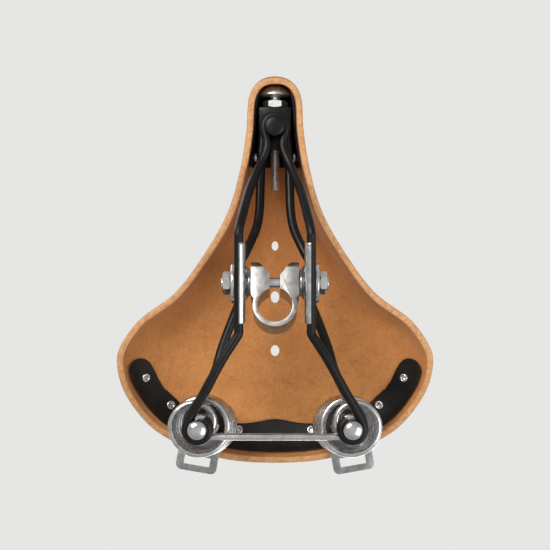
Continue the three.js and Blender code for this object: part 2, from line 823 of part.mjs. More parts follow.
// Spring seats: a pad and stud that hang from the cantle plate, and the nut below the spring
function makeSpringSeats() {
  const padBottom = springTopHeight + springWire / 2 + clearance;
  const nutTop = springTopHeight - springWire / 2 - clearance;
  const studBottom = nutTop - seatNutThickness - boltEndStand;
  const stud = springStudDiameter / 2;
  const padCut = seatCutter(plateThickness);
  const studCut = formShell(-12, leatherThickness + clearance);
  for (const [side, sign] of sides) {
    const x = sign * springTopX;
    const pad = barZ(springSeatRadius, padBottom, 90, x, springTopY).subtract(padCut);
    const post = barZ(stud, studBottom, 90, x, springTopY).subtract(studCut);
    const seat = lowestBody(pad).add(lowestBody(post));
    addPiece(`spring_seat_${side}`, seat, chrome);
    const nut = barZ(acrossCorners(seatNutAcrossFlats), nutTop - seatNutThickness, nutTop, x, springTopY, 6);
    const hole = barZ(stud + clearance, 0, 90, x, springTopY);
    addPiece(`spring_seat_nut_${side}`, nut.subtract(hole), chrome);
  }
}

// The lowest of a cut solid's pieces, because a cut can leave an offcut above the form.
function lowestBody(solid) {
  const bodies = solid.decompose();
  bodies.sort((a, b) => a.boundingBox().min[2] - b.boundingBox().min[2]);
  return bodies[0];
}

// Nose: shackle, its bolt, and the tension pin with its nut
const shackleFrontY = noseBoltY - shackleFrontReach;
const tensionNutRearY = shackleFrontY - clearance;
const tensionNutFrontY = tensionNutRearY - tensionNutThickness;

function makeShackle() {
  const half = shackleWidth / 2;
  const rear = shackleFrontY + shackleLength;
  const floorTop = noseTop + shacklePlate;
  const wallTop = noseTop + shackleWallRise;
  const lipTop = floorTop + shackleLip;
  const floor = box([-half, shackleFrontY, noseTop], [half, rear, floorTop]);
  const front = box([-half, shackleFrontY, noseTop], [half, shackleFrontY + shacklePlate, wallTop]);
  const back = box([-half, rear - shacklePlate, noseTop], [half, rear, wallTop]);
  let shackle = floor.add(front).add(back);
  for (const [, sign] of sides) {
    const xs = [sign * half, sign * (half - shacklePlate)].sort((a, b) => a - b);
    shackle = shackle.add(box([xs[0], shackleFrontY, noseTop], [xs[1], rear, lipTop]));
  }
  const pinHole = barY(pinThread / 2 + clearance, shackleFrontY - 1, rear + 1, 0, pinHeight, 16);
  const boltHole = barZ(noseShankDiameter / 2 + clearance, noseTop - 1, floorTop + 1, 0, noseBoltY);
  const trimmed = shackle.subtract(seatCutter(nosePlateThickness));
  addPiece("nose_shackle", trimmed.subtract(pinHole).subtract(boltHole), enamel);
}

function makeNoseBolt() {
  const shank = noseShankDiameter / 2;
  const capTop = noseLoopHeight - wireRadius - clearance;
  const riveted = noseTop + shacklePlate + clearance;
  const rivetTop = riveted + noseRivetHeadRise;
  const cap = domeProfile(noseCapRadius, -capTop + noseCapRise - 1.5, 1.5, 3);
  const profile = [
    [0, -rivetTop],
    [noseRivetHeadRadius - 1, -rivetTop],
    [noseRivetHeadRadius, -riveted - 0.5],
    [noseRivetHeadRadius, -riveted],
    [shank, -riveted],
    [shank, -capTop],
    [noseCapRadius, -capTop],
    ...cap,
  ];
  const bolt = turned(profile, 24).rotateX(-Math.PI / 2).translate(0, noseBoltY, 0);
  addPiece("nose_bolt", solidOf(bolt), enamel);
}

function makeTensioner() {
  const neck = pinNeckDiameter / 2;
  const thread = pinThread / 2;
  const headBack = pinFrontY + pinHeadDepth;
  const neckEnd = tensionNutFrontY - clearance - tensionTravel;
  const tailEnd = shackleFrontY + shackleLength + pinTail;
  const { sphere, y } = pinHeadSphere();
  const profile = [];
  const steps = 6;
  for (let i = 0; i <= steps; i++) {
    const radius = (pinHeadRadius * i) / steps;
    profile.push([radius, y - Math.sqrt(sphere ** 2 - radius ** 2)]);
  }
  profile.push([pinHeadRadius, headBack + pinHeadLip], [neck, headBack + pinHeadLip]);
  profile.push([neck, neckEnd]);
  profile.push([thread, neckEnd], [thread, tailEnd - 1], [thread - 0.8, tailEnd], [0, tailEnd]);
  addPiece("tension_pin", solidOf(turned(profile, 24).translate(0, 0, pinHeight)), chrome);
  const corner = acrossCorners(tensionNutAcrossFlats);
  const flatDown = Math.PI / 6;
  const nut = barY(corner, tensionNutFrontY, tensionNutRearY, 0, pinHeight, 6, flatDown);
  const hole = barY(thread + clearance, noseY, 0, 0, pinHeight, 16);
  addPiece("tension_nut", nut.subtract(hole), chrome);
}

// Bag loops: a bent strip under the cantle plate, with a slot for a strap
function makeBagLoops() {
  const tabTop = loopShelfHeight + loopTabRise;
  const profile = new THREE.Shape();
  profile.moveTo(loopTabY - 3, tabTop);
  profile.lineTo(loopTabY, loopShelfHeight);
  profile.lineTo(loopReach, loopLowest);
  profile.lineTo(loopReach, loopLowest + loopThickness);
  profile.lineTo(loopTabY + 1.4, loopShelfHeight + loopThickness);
  profile.lineTo(loopTabY - 3 + loopThickness, tabTop);
  const strip = new THREE.ExtrudeGeometry(profile, { depth: loopWidth, bevelEnabled: false });
  // The profile is drawn in Y and Z, and the strip is that profile carried along X.
  strip.applyMatrix4(new THREE.Matrix4().set(0, 0, 1, -loopWidth / 2, 1, 0, 0, 0, 0, 1, 0, 0, 0, 0, 0, 1));
  const half = loopWidth / 2;
  const plan = new THREE.Shape();
  plan.moveTo(-half, loopTabY - 20);
  plan.lineTo(half, loopTabY - 20);
  plan.lineTo(half, loopReach - loopCorner);
  plan.absarc(half - loopCorner, loopReach - loopCorner, loopCorner, 0, Math.PI / 2, false);
  plan.absarc(loopCorner - half, loopReach - loopCorner, loopCorner, Math.PI / 2, Math.PI, false);
  const slotRear = loopReach - loopRearBar;
  const slotHalf = loopSlotWidth / 2;
  const slot = box([-slotHalf, slotRear - loopSlotDepth, 0], [slotHalf, slotRear, 90]);
  const flat = solidOf(strip).intersect(upright(plan, 0, 90)).subtract(slot);
  const cutter = seatCutter(plateThickness);
  const aroundSeat = springSeatRadius + 2 * clearance;
  const middleY = (loopTabY + loopReach) / 2;
  for (const [side, sign] of sides) {
    const { vertProperties, triVerts } = flat.getMesh();
    const copy = new THREE.BufferGeometry();
    copy.setAttribute("position", new THREE.BufferAttribute(vertProperties.slice(), 3));
    copy.setIndex(new THREE.BufferAttribute(triVerts.slice(), 1));
    copy.translate(0, -middleY, 0).rotateZ(-sign * loopSkew).translate(sign * loopX, middleY, 0);
    const seatRoom = barZ(aroundSeat, 0, 90, sign * springTopX, springTopY);
    const loop = solidOf(copy).subtract(cutter).subtract(seatRoom);
    addPiece(`bag_loop_${side}`, lowestBody(loop), chrome);
  }
}

makeLeatherTop();
makeNosePlate();
makeCantlePlate();
makeBadgePlate();
makeRivets();
makeClampBand();
makeCheeks();
makeWires();
makeTieRod();
makeFootBolts();
makeSprings();
makeSpringSeats();
makeShackle();
makeNoseBolt();
makeTensioner();
makeBagLoops();

export default saddle;
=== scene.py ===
import math

import bmesh
import bpy
import numpy as np
from mathutils import Matrix, Vector


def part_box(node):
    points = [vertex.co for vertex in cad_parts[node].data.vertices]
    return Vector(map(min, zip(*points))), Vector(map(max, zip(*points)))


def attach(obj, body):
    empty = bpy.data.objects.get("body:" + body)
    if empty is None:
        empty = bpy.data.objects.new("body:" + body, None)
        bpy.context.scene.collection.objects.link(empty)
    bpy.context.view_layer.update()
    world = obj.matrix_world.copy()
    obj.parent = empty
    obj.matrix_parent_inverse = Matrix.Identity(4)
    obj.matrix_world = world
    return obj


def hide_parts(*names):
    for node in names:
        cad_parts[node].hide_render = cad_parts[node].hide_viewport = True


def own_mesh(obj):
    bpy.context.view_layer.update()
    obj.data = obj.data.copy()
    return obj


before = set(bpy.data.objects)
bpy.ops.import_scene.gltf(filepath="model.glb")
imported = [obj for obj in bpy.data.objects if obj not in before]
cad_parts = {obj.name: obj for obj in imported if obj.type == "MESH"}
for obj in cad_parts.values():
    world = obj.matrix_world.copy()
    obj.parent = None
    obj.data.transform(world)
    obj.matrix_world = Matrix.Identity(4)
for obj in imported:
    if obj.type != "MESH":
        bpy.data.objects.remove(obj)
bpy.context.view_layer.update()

mm = 0.001
sides = (("left", 1), ("right", -1))


# Small tools for materials

def toLinear(text):
    # sRGB hex to the linear colour that a shader takes
    parts = [int(text[i:i + 2], 16) / 255 for i in (1, 3, 5)]
    linear = [p / 12.92 if p <= 0.04045 else ((p + 0.055) / 1.055) ** 2.4 for p in parts]
    return linear + [1]


def grey(value):
    return [value, value, value, 1]


def addNode(tree, kind, inputs=None, stops=(), **settings):
    made = tree.nodes.new(kind)
    for name, value in settings.items():
        setattr(made, name, value)
    if stops:
        elements = made.color_ramp.elements
        elements.remove(elements[1])
        for i, (position, colour) in enumerate(stops):
            element = elements[0] if i == 0 else elements.new(position)
            element.position = position
            element.color = colour
    for name, value in (inputs or {}).items():
        if isinstance(value, bpy.types.NodeSocket):
            tree.links.new(value, made.inputs[name])
        else:
            made.inputs[name].default_value = value
    return made


def newMaterial(name):
    material = bpy.data.materials.new(name)
    material.use_nodes = True
    material.node_tree.nodes.clear()
    return material, material.node_tree


def closeMaterial(tree, inputs):
    shader = addNode(tree, "ShaderNodeBsdfPrincipled", inputs)
    addNode(tree, "ShaderNodeOutputMaterial", {"Surface": shader.outputs["BSDF"]})


def perMm(size):
    # texture scale that gives a pattern about this many millimetres across
    return 1 / (size * mm)


# Vegetable-tanned hide, flesh side: split and buffed, so it is matt, mottled and finely fibrous
fleshSide = {
    # front is darker by painted shade and rear is lighter by painted light, for light falling from the rear; middle
    # lies between them
    "front": "#BC7642",
    "middle": "#D08A4E",
    "rear": "#E09D5C",
    "stain": "#A8673A",
    "cloud": 26,
    "mottle": 7,
    "nap": 1.6,
    "fibre": 2.2,
}


def makeFleshSide():
    material, tree = newMaterial("vegetableTannedFleshSide")
    place = addNode(tree, "ShaderNodeTexCoord").outputs["Object"]
    axes = addNode(tree, "ShaderNodeSeparateXYZ", {"Vector": place})
    # painted light: the colour runs from painted shade at the front to painted light at the rear along the hide
    along = addNode(tree, "ShaderNodeMapRange", {
        "Value": axes.outputs["Y"], "From Min": -0.15, "From Max": 0.1, "To Min": 0.05, "To Max": 0.85})
    cloud = addNode(tree, "ShaderNodeTexNoise", {
        "Vector": place, "Scale": perMm(fleshSide["cloud"]), "Detail": 5, "Roughness": 0.6})
    drift = addNode(tree, "ShaderNodeMath", {0: cloud.outputs["Fac"], 1: 0.5}, operation="SUBTRACT")
    # the hide's own random mottle plus the painted light ramp from front to rear
    mottleAndPaintedLight = addNode(tree, "ShaderNodeMath", {
        0: drift.outputs[0], 1: 0.9, 2: along.outputs["Result"]}, operation="MULTIPLY_ADD")
    base = addNode(tree, "ShaderNodeValToRGB", {"Fac": mottleAndPaintedLight.outputs[0]}, stops=(
        (0.0, toLinear(fleshSide["front"])),
        (0.5, toLinear(fleshSide["middle"])),
        (1.0, toLinear(fleshSide["rear"]))))
    mottle = addNode(tree, "ShaderNodeTexNoise", {
        "Vector": place, "Scale": perMm(fleshSide["mottle"]), "Detail": 6, "Roughness": 0.7,
        "Distortion": 0.6})
    patch = addNode(tree, "ShaderNodeMapRange", {
        "Value": mottle.outputs["Fac"], "From Min": 0.5, "From Max": 0.78, "To Min": 0, "To Max": 0.5})
    stained = addNode(tree, "ShaderNodeMix", {
        0: patch.outputs["Result"], 6: base.outputs["Color"], 7: toLinear(fleshSide["stain"])},
        data_type="RGBA")
    # fibres lie mostly along the hide, so they are drawn longer that way
    combed = addNode(tree, "ShaderNodeMapping", {"Vector": place, "Scale": (1, 0.4, 1)})
    fibre = addNode(tree, "ShaderNodeTexNoise", {
        "Vector": combed.outputs["Vector"], "Scale": perMm(fleshSide["fibre"]), "Detail": 7,
        "Roughness": 0.75, "Distortion": 1.2})
    nap = addNode(tree, "ShaderNodeTexNoise", {
        "Vector": place, "Scale": perMm(fleshSide["nap"]), "Detail": 3, "Roughness": 0.7})
    speck = addNode(tree, "ShaderNodeMath", {
        0: fibre.outputs["Fac"], 1: nap.outputs["Fac"]}, operation="ADD")
    shade = addNode(tree, "ShaderNodeMapRange", {
        "Value": speck.outputs[0], "From Min": 0.65, "From Max": 1.35, "To Min": 0.8, "To Max": 1.16})
    tinted = addNode(tree, "ShaderNodeMix", {
        0: 1.0, 6: stained.outputs[2], 7: shade.outputs["Result"]},
        data_type="RGBA", blend_type="MULTIPLY")
    rough = addNode(tree, "ShaderNodeMapRange", {
        "Value": mottle.outputs["Fac"], "To Min": 0.7, "To Max": 0.92})
    bump = addNode(tree, "ShaderNodeBump", {
        "Height": speck.outputs[0], "Strength": 0.55, "Distance": 0.25 * mm})
    closeMaterial(tree, {
        "Base Color": tinted.outputs[2], "Roughness": rough.outputs["Result"],
        "Normal": bump.outputs["Normal"], "Sheen Weight": 0.12, "Sheen Roughness": 0.5,
        "Specular IOR Level": 0.35})
    return material


# The same hide on its grain side: dyed, waxed and burnished, with fine pores and a low gloss
grainSide = {"light": "#B8743B", "dark": "#8F5328", "cloud": 34, "pore": 0.9, "crease": 7}


def makeGrainSide():
    material, tree = newMaterial("waxedGrainLeather")
    place = addNode(tree, "ShaderNodeTexCoord").outputs["Object"]
    cloud = addNode(tree, "ShaderNodeTexNoise", {
        "Vector": place, "Scale": perMm(grainSide["cloud"]), "Detail": 5, "Roughness": 0.6})
    base = addNode(tree, "ShaderNodeValToRGB", {"Fac": cloud.outputs["Fac"]}, stops=(
        (0.3, toLinear(grainSide["dark"])), (0.65, toLinear(grainSide["light"]))))
    pore = addNode(tree, "ShaderNodeTexVoronoi", {
        "Vector": place, "Scale": perMm(grainSide["pore"])})
    pit = addNode(tree, "ShaderNodeMapRange", {
        "Value": pore.outputs["Distance"], "From Min": 0, "From Max": 0.35, "To Min": 0.7, "To Max": 1})
    tinted = addNode(tree, "ShaderNodeMix", {
        0: 0.8, 6: base.outputs["Color"], 7: pit.outputs["Result"]},
        data_type="RGBA", blend_type="MULTIPLY")
    crease = addNode(tree, "ShaderNodeTexNoise", {
        "Vector": place, "Scale": perMm(grainSide["crease"]), "Detail": 8, "Roughness": 0.65})
    height = addNode(tree, "ShaderNodeMath", {
        0: pit.outputs["Result"], 1: 0.5, 2: crease.outputs["Fac"]}, operation="MULTIPLY_ADD")
    rough = addNode(tree, "ShaderNodeMapRange", {
        "Value": crease.outputs["Fac"], "To Min": 0.3, "To Max": 0.55})
    bump = addNode(tree, "ShaderNodeBump", {
        "Height": height.outputs[0], "Strength": 0.35, "Distance": 0.2 * mm})
    closeMaterial(tree, {
        "Base Color": tinted.outputs[2], "Roughness": rough.outputs["Result"],
        "Normal": bump.outputs["Normal"], "Coat Weight": 0.12, "Coat Roughness": 0.3})
    return material


# The skived and burnished edge of the hide: paler, with fine layers that run round the rim
cutEdge = {"light": "#DFA873", "dark": "#BC8250", "layer": 0.9}


def makeCutEdge():
    material, tree = newMaterial("burnishedCutEdge")
    place = addNode(tree, "ShaderNodeTexCoord").outputs["Object"]
    grain = addNode(tree, "ShaderNodeTexNoise", {
        "Vector": place, "Scale": perMm(cutEdge["layer"] * 3), "Detail": 6, "Roughness": 0.7})
    layered = addNode(tree, "ShaderNodeMapping", {"Vector": place, "Scale": (0.3, 0.3, 1.5)})
    layer = addNode(tree, "ShaderNodeTexNoise", {
        "Vector": layered.outputs["Vector"], "Scale": perMm(cutEdge["layer"]), "Detail": 3})
    both = addNode(tree, "ShaderNodeMath", {
        0: grain.outputs["Fac"], 1: layer.outputs["Fac"]}, operation="ADD")
    base = addNode(tree, "ShaderNodeValToRGB", {"Fac": addNode(tree, "ShaderNodeMapRange", {
        "Value": both.outputs[0], "From Min": 0.7, "From Max": 1.3}).outputs["Result"]}, stops=(
        (0.0, toLinear(cutEdge["dark"])), (0.8, toLinear(cutEdge["light"]))))
    bump = addNode(tree, "ShaderNodeBump", {
        "Height": both.outputs[0], "Strength": 0.4, "Distance": 0.15 * mm})
    closeMaterial(tree, {
        "Base Color": base.outputs["Color"], "Roughness": 0.55, "Normal": bump.outputs["Normal"]})
    return material


# Steel parts. Each row: what the finish is, its colours and how it catches the light
metalFinishes = {
    # dipped and baked black enamel: deep and glossy, with slight orange peel and a little dust
    "stoveEnamelOnSteel": {
        "dark": "#070707", "light": "#121110", "metallic": 0, "smooth": 0.3, "worn": 0.48,
        "smudge": 14, "peel": 2.6, "peelDepth": 0.05, "peelStrength": 0.25, "coat": 0},
    # pressed plate with the same enamel, rougher where it was sprayed inside
    "sprayedEnamelOnPlate": {
        "dark": "#0E0E0E", "light": "#1A1A19", "metallic": 0, "smooth": 0.36, "worn": 0.54,
        "smudge": 18, "peel": 1.8, "peelDepth": 0.08, "peelStrength": 0.35, "coat": 0},
    # copper, nickel and chromium on polished steel: a mirror with faint finger marks
    "brightChromeOnSteel": {
        "dark": "#C9CACC", "light": "#E4E5E7", "metallic": 1, "smooth": 0.14, "worn": 0.28,
        "smudge": 9, "peel": 1.5, "peelDepth": 0.02, "peelStrength": 0.12, "coat": 0},
    # plated spring wire: bright, but the drawn surface below keeps it slightly soft
    "platedSpringWire": {
        "dark": "#BDBEC0", "light": "#DDDEE0", "metallic": 1, "smooth": 0.2, "worn": 0.34,
        "smudge": 5, "peel": 0.9, "peelDepth": 0.02, "peelStrength": 0.2, "coat": 0},
    # tumbled and nickel plated pressing: satin, with a fine even grain
    "satinNickelOnPressing": {
        "dark": "#9B9996", "light": "#B9B7B3", "metallic": 1, "smooth": 0.3, "worn": 0.44,
        "smudge": 7, "peel": 0.5, "peelDepth": 0.05, "peelStrength": 0.35, "coat": 0},
    # zinc plate: grey and soft, with faint cloudy spangle
    # turned and zinc plated pin: pale and soft, with a screw thread rolled on it
    "turnedPinSteel": {
        "dark": "#D2D2D1", "light": "#EDEDEB", "metallic": 1, "smooth": 0.38, "worn": 0.55,
        "smudge": 3, "peel": 0.6, "peelDepth": 0.04, "peelStrength": 0.3, "coat": 0},
    "zincPlateOnStrip": {
        "dark": "#8E8F90", "light": "#B0B1B1", "metallic": 1, "smooth": 0.28, "worn": 0.42,
        "smudge": 4, "peel": 0.8, "peelDepth": 0.04, "peelStrength": 0.25, "coat": 0},
}


def makeMetal(name):
    look = metalFinishes[name]
    material, tree = newMaterial(name)
    place = addNode(tree, "ShaderNodeTexCoord").outputs["Object"]
    smudge = addNode(tree, "ShaderNodeTexNoise", {
        "Vector": place, "Scale": perMm(look["smudge"]), "Detail": 6, "Roughness": 0.6,
        "Distortion": 0.8})
    base = addNode(tree, "ShaderNodeValToRGB", {"Fac": smudge.outputs["Fac"]}, stops=(
        (0.32, toLinear(look["dark"])), (0.62, toLinear(look["light"]))))
    # dust and tiny pits, drawn at half a millimetre so that they show
    dust = addNode(tree, "ShaderNodeTexNoise", {
        "Vector": place, "Scale": perMm(0.55), "Detail": 2, "Roughness": 0.5})
    speck = addNode(tree, "ShaderNodeMapRange", {
        "Value": dust.outputs["Fac"], "From Min": 0.66, "From Max": 0.78, "To Min": 0, "To Max": 0.3})
    dusted = addNode(tree, "ShaderNodeMix", {
        0: speck.outputs["Result"], 6: base.outputs["Color"], 7: toLinear("#77746F")},
        data_type="RGBA")
    worn = addNode(tree, "ShaderNodeMapRange", {
        "Value": smudge.outputs["Fac"], "From Min": 0.35, "From Max": 0.75,
        "To Min": look["smooth"], "To Max": look["worn"]})
    rough = addNode(tree, "ShaderNodeMath", {
        0: worn.outputs["Result"], 1: speck.outputs["Result"]}, operation="ADD", use_clamp=True)
    peel = addNode(tree, "ShaderNodeTexNoise", {
        "Vector": place, "Scale": perMm(look["peel"]), "Detail": 3, "Roughness": 0.5})
    bump = addNode(tree, "ShaderNodeBump", {
        "Height": peel.outputs["Fac"], "Strength": look["peelStrength"],
        "Distance": look["peelDepth"] * mm})
    closeMaterial(tree, {
        "Base Color": dusted.outputs[2], "Metallic": look["metallic"],
        "Roughness": rough.outputs[0], "Normal": bump.outputs["Normal"],
        "Coat Weight": look["coat"], "Coat Roughness": 0.12,
        "Specular IOR Level": 0.5 if look["metallic"] else 0.3})
    return material


flesh = makeFleshSide()
grain = makeGrainSide()
edge = makeCutEdge()
enamel = makeMetal("stoveEnamelOnSteel")
plateEnamel = makeMetal("sprayedEnamelOnPlate")
chrome = makeMetal("brightChromeOnSteel")
springSteel = makeMetal("platedSpringWire")
satinNickel = makeMetal("satinNickelOnPressing")
zinc = makeMetal("zincPlateOnStrip")
pinSteel = makeMetal("turnedPinSteel")
print("materials made")


# Small tools for shapes. Sizes are millimetres until a mesh is made.

def linkMesh(name, mesh):
    piece = bpy.data.objects.new(name, mesh)
    bpy.context.collection.objects.link(piece)
    return piece


def cleanMesh(mesh, sharpAngle=38):
    work = bmesh.new()
    work.from_mesh(mesh)
    bmesh.ops.remove_doubles(work, verts=work.verts, dist=0.002 * mm)
    bmesh.ops.dissolve_degenerate(work, edges=work.edges, dist=0.001 * mm)
    bmesh.ops.recalc_face_normals(work, faces=work.faces)
    work.to_mesh(mesh)
    work.free()
    mesh.shade_smooth()
    mesh.set_sharp_from_angle(angle=math.radians(sharpAngle))


def pieceFrom(name, points, faces, material=None):
    mesh = bpy.data.meshes.new(name)
    mesh.from_pydata([tuple(p) for p in np.asarray(points, float) * mm], [], faces)
    cleanMesh(mesh)
    if material:
        mesh.materials.append(material)
    return linkMesh(name, mesh)


def settle(piece):
    # modifiers become plain mesh
    graph = bpy.context.evaluated_depsgraph_get()
    mesh = bpy.data.meshes.new_from_object(piece.evaluated_get(graph))
    piece.modifiers.clear()
    piece.data = mesh
    return piece


def combine(piece, other, operation="DIFFERENCE"):
    step = piece.modifiers.new("combine", "BOOLEAN")
    step.object = other
    step.operation = operation
    step.solver = "EXACT"
    settle(piece)
    bpy.data.objects.remove(other)
    return piece


def softenEdges(piece, width, segments=2, angle=40):
    step = piece.modifiers.new("soften", "BEVEL")
    step.width = width * mm
    step.segments = segments
    step.limit_method = "ANGLE"
    step.angle_limit = math.radians(angle)
    step.harden_normals = False
    settle(piece)
    cleanMesh(piece.data)
    return piece


def eased(points, radius, steps=4, closed=False):
    # rounds the corners of an outline or a turned profile
    points = [np.array(p, float) for p in points]
    count = len(points)
    made = []
    for i, corner in enumerate(points):
        if not closed and i in (0, count - 1):
            made.append(corner)
            continue
        before, after = points[i - 1], points[(i + 1) % count]
        reachIn, reachOut = np.linalg.norm(before - corner), np.linalg.norm(after - corner)
        size = radius[i] if isinstance(radius, (list, tuple)) else radius
        size = min(size, 0.48 * reachIn, 0.48 * reachOut)
        start = corner + (before - corner) * size / max(reachIn, 1e-9)
        end = corner + (after - corner) * size / max(reachOut, 1e-9)
        for k in range(steps + 1):
            t = k / steps
            made.append((1 - t) ** 2 * start + 2 * t * (1 - t) * corner + t * t * end)
    return made


def loft(stations, closedStations, closedLoop, caps=False):
    # faces between neighbouring rows of points
    stations = np.asarray(stations, float)
    rows, count = stations.shape[:2]
    faces = []
    for i in range(rows if closedStations else rows - 1):
        nextRow = (i + 1) % rows
        for j in range(count if closedLoop else count - 1):
            k = (j + 1) % count
            faces.append((i * count + j, i * count + k, nextRow * count + k, nextRow * count + j))
    if caps:
        faces.append(tuple(range(count)))
        faces.append(tuple((rows - 1) * count + j for j in range(count)))
    return stations.reshape(-1, 3), faces


axisOrder = {"X": (2, 0, 1), "Y": (0, 2, 1), "Z": (0, 1, 2)}


def turned(name, profile, axis, at=(0, 0, 0), material=None, facets=72, loop=False, start=0.0):
    # profile rows are radius and distance along the axis; either may depend on the angle
    stations = []
    for i in range(facets):
        angle = start + 2 * math.pi * i / facets
        row = []
        for radius, along in profile:
            r = radius(angle) if callable(radius) else radius
            a = along(angle) if callable(along) else along
            local = (r * math.cos(angle), r * math.sin(angle), a)
            row.append([local[axisOrder[axis][k]] + at[k] for k in range(3)])
        stations.append(row)
    points, faces = loft(stations, True, loop)
    return pieceFrom(name, points, faces, material)


def rod(name, radius, low, high, axis, at, ease=0.4, facets=72, material=None):
    profile = eased([(0, low), (radius, low), (radius, high), (0, high)], ease)
    return turned(name, profile, axis, at, material, facets)


def prism(name, outline, low, high, axis="Z"):
    stations = []
    for level in (low, high):
        row = []
        for u, v in outline:
            row.append((u, v, level) if axis == "Z" else (level, u, v))
        stations.append(row)
    points, faces = loft(stations, False, True, caps=True)
    return pieceFrom(name, points, faces)


def block(name, low, high):
    (x0, y0, z0), (x1, y1, z1) = low, high
    return prism(name, [(x0, y0), (x1, y0), (x1, y1), (x0, y1)], z0, z1)


def hexNut(name, acrossFlats, low, high, bore, axis, at, material, flatAt=0.0):
    # six flats, with the turned chamfer that cuts each corner to an arc
    slope = math.tan(math.radians(28))
    flatRadius = acrossFlats / 2

    def rim(angle):
        fromFlat = (angle - flatAt + math.pi / 6) % (math.pi / 3) - math.pi / 6
        return flatRadius / math.cos(fromFlat)

    def drop(angle):
        return (rim(angle) - 0.96 * flatRadius) * slope

    lead = 0.5
    profile = [
        (bore + lead, low), (bore, low + lead), (bore, high - lead), (bore + lead, high),
        (0.96 * flatRadius, high), (rim, lambda a: high - drop(a)),
        (rim, lambda a: low + drop(a)), (0.96 * flatRadius, low)]
    return turned(name, profile, axis, at, material, 72, loop=True, start=flatAt)


def place(piece, body, slot, *nodes):
    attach(piece, body)
    if nodes:
        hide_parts(*nodes)
    return piece


def boxOf(node):
    low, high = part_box(node)
    return low / mm, high / mm


def splineAt(points, share, closed=False):
    # a centripetal curve through the points; share runs evenly from point to point
    points = np.asarray(points, float)
    count = len(points)
    spans = count if closed else count - 1
    at = np.clip(np.asarray(share, float), 0, 1) * spans
    low = np.floor(at).astype(int)
    if closed:
        p = [points[(low + k) % count] for k in (-1, 0, 1, 2)]
    else:
        low = np.minimum(low, spans - 1)
        padded = np.vstack([2 * points[0] - points[1], points, 2 * points[-1] - points[-2]])
        p = [padded[low + k] for k in range(4)]
    t = (at - low)[..., None]
    d = [np.sqrt(np.linalg.norm(p[k + 1] - p[k], axis=-1))[..., None] for k in range(3)]
    d[1] = np.where(d[1] < 1e-4, 1, d[1])
    d[0] = np.where(d[0] < 1e-4, d[1], d[0])
    d[2] = np.where(d[2] < 1e-4, d[1], d[2])
    t1 = ((p[1] - p[0]) / d[0] - (p[2] - p[0]) / (d[0] + d[1]) + (p[2] - p[1]) / d[1]) * d[1]
    t2 = ((p[2] - p[1]) / d[1] - (p[3] - p[1]) / (d[1] + d[2]) + (p[3] - p[2]) / d[2]) * d[1]
    return (p[1] + t * t1 + t ** 2 * (3 * (p[2] - p[1]) - 2 * t1 - t2)
            + t ** 3 * (2 * (p[1] - p[2]) + t1 + t2))


# The saddle's form: a rim in plan, a crown line, and a section between them at each station

form = {
    "length": 260.6, "width": 212, "noseY": -153.5, "thickness": 4.5,
    "crownStart": -136.5, "crownEnd": 57.5, "noseBulge": 3.3,
    "rim": [(0, 0), (0.075, 0.005), (0.129, 0.021), (0.164, 0.051), (0.18, 0.139),
            (0.221, 0.242), (0.296, 0.346), (0.436, 0.448), (0.625, 0.55), (0.865, 0.625),
            (0.988, 0.7), (1, 0.738), (0.962, 0.807), (0.826, 0.891), (0.675, 0.938),
            (0.358, 0.987), (0, 1)],
    "crownHeights": [71.5, 72, 70, 68, 67.5, 70, 77, 83.5, 85],
    "rimHeights": [33, 30, 27, 25, 26, 31, 38, 49, 57],
    "squareness": [3, 3, 2.8, 2.6, 2.4, 2.3, 2.2, 2.2, 2.2],
}

leftRim = [(w * form["width"] / 2, form["noseY"] + a * form["length"]) for w, a in form["rim"]]
rimLoop = leftRim + [(-x, y) for x, y in leftRim[1:-1][::-1]]
rimSteps = np.linspace(0, 1, 201)
rimTrail = splineAt(rimLoop, rimSteps, closed=True)
rimLengths = np.concatenate([[0], np.cumsum(np.linalg.norm(np.diff(rimTrail, axis=0), axis=1))])


def alongSaddle(values, y):
    values = np.asarray(values, float)
    last = len(values) - 1
    at = np.clip((y - form["noseY"]) / form["length"], 0, 1) * last
    low = np.minimum(np.floor(at).astype(int), last - 1)
    t = at - low
    a, b = values[np.maximum(low - 1, 0)], values[low]
    c, d = values[low + 1], values[np.minimum(low + 2, last)]
    bend = 2 * a - 5 * b + 4 * c - d + t * (3 * (b - c) + d - a)
    return b + 0.5 * t * (c - a + t * bend)


def rimPoint(turn):
    wrapped = np.mod(turn, 2)
    share = np.minimum(wrapped, 2 - wrapped) / 2 * rimLengths[-1]
    point = splineAt(rimLoop, np.interp(share, rimLengths, rimSteps), closed=True)
    return np.where(wrapped <= 1, point[..., 0], -point[..., 0]), point[..., 1]


def crownBeside(rimY):
    return np.clip(rimY, form["crownStart"], form["crownEnd"])


def outerPoint(turn, fall):
    turn, fall = np.broadcast_arrays(np.asarray(turn, float), np.asarray(fall, float))
    rimX, rimY = rimPoint(turn)
    crownY = crownBeside(rimY)
    power = 2 / alongSaddle(form["squareness"], rimY)
    angle = np.clip(fall, 0, 1) * math.pi / 2
    outward = np.sin(angle) ** power
    upward = np.where(fall < 1, np.cos(angle) ** power, 0)
    reach = np.hypot(rimX, rimY - crownY)
    ahead = np.maximum(0, crownY - rimY) / reach
    share = outward + form["noseBulge"] * ahead ** 2 * np.sin(math.pi * upward) / reach
    rimZ = alongSaddle(form["rimHeights"], rimY)
    crownZ = alongSaddle(form["crownHeights"], crownY)
    return np.stack([rimX * share, crownY + (rimY - crownY) * share,
                     rimZ + (crownZ - rimZ) * upward], axis=-1)


def inwardAt(turn, fall):
    step = 1e-3
    fall = np.maximum(fall, step)
    around = outerPoint(turn + step, fall) - outerPoint(turn - step, fall)
    down = outerPoint(turn, np.minimum(fall + step, 1)) - outerPoint(turn, fall - step)
    inward = np.cross(around, down)
    return inward / np.linalg.norm(inward, axis=-1, keepdims=True)


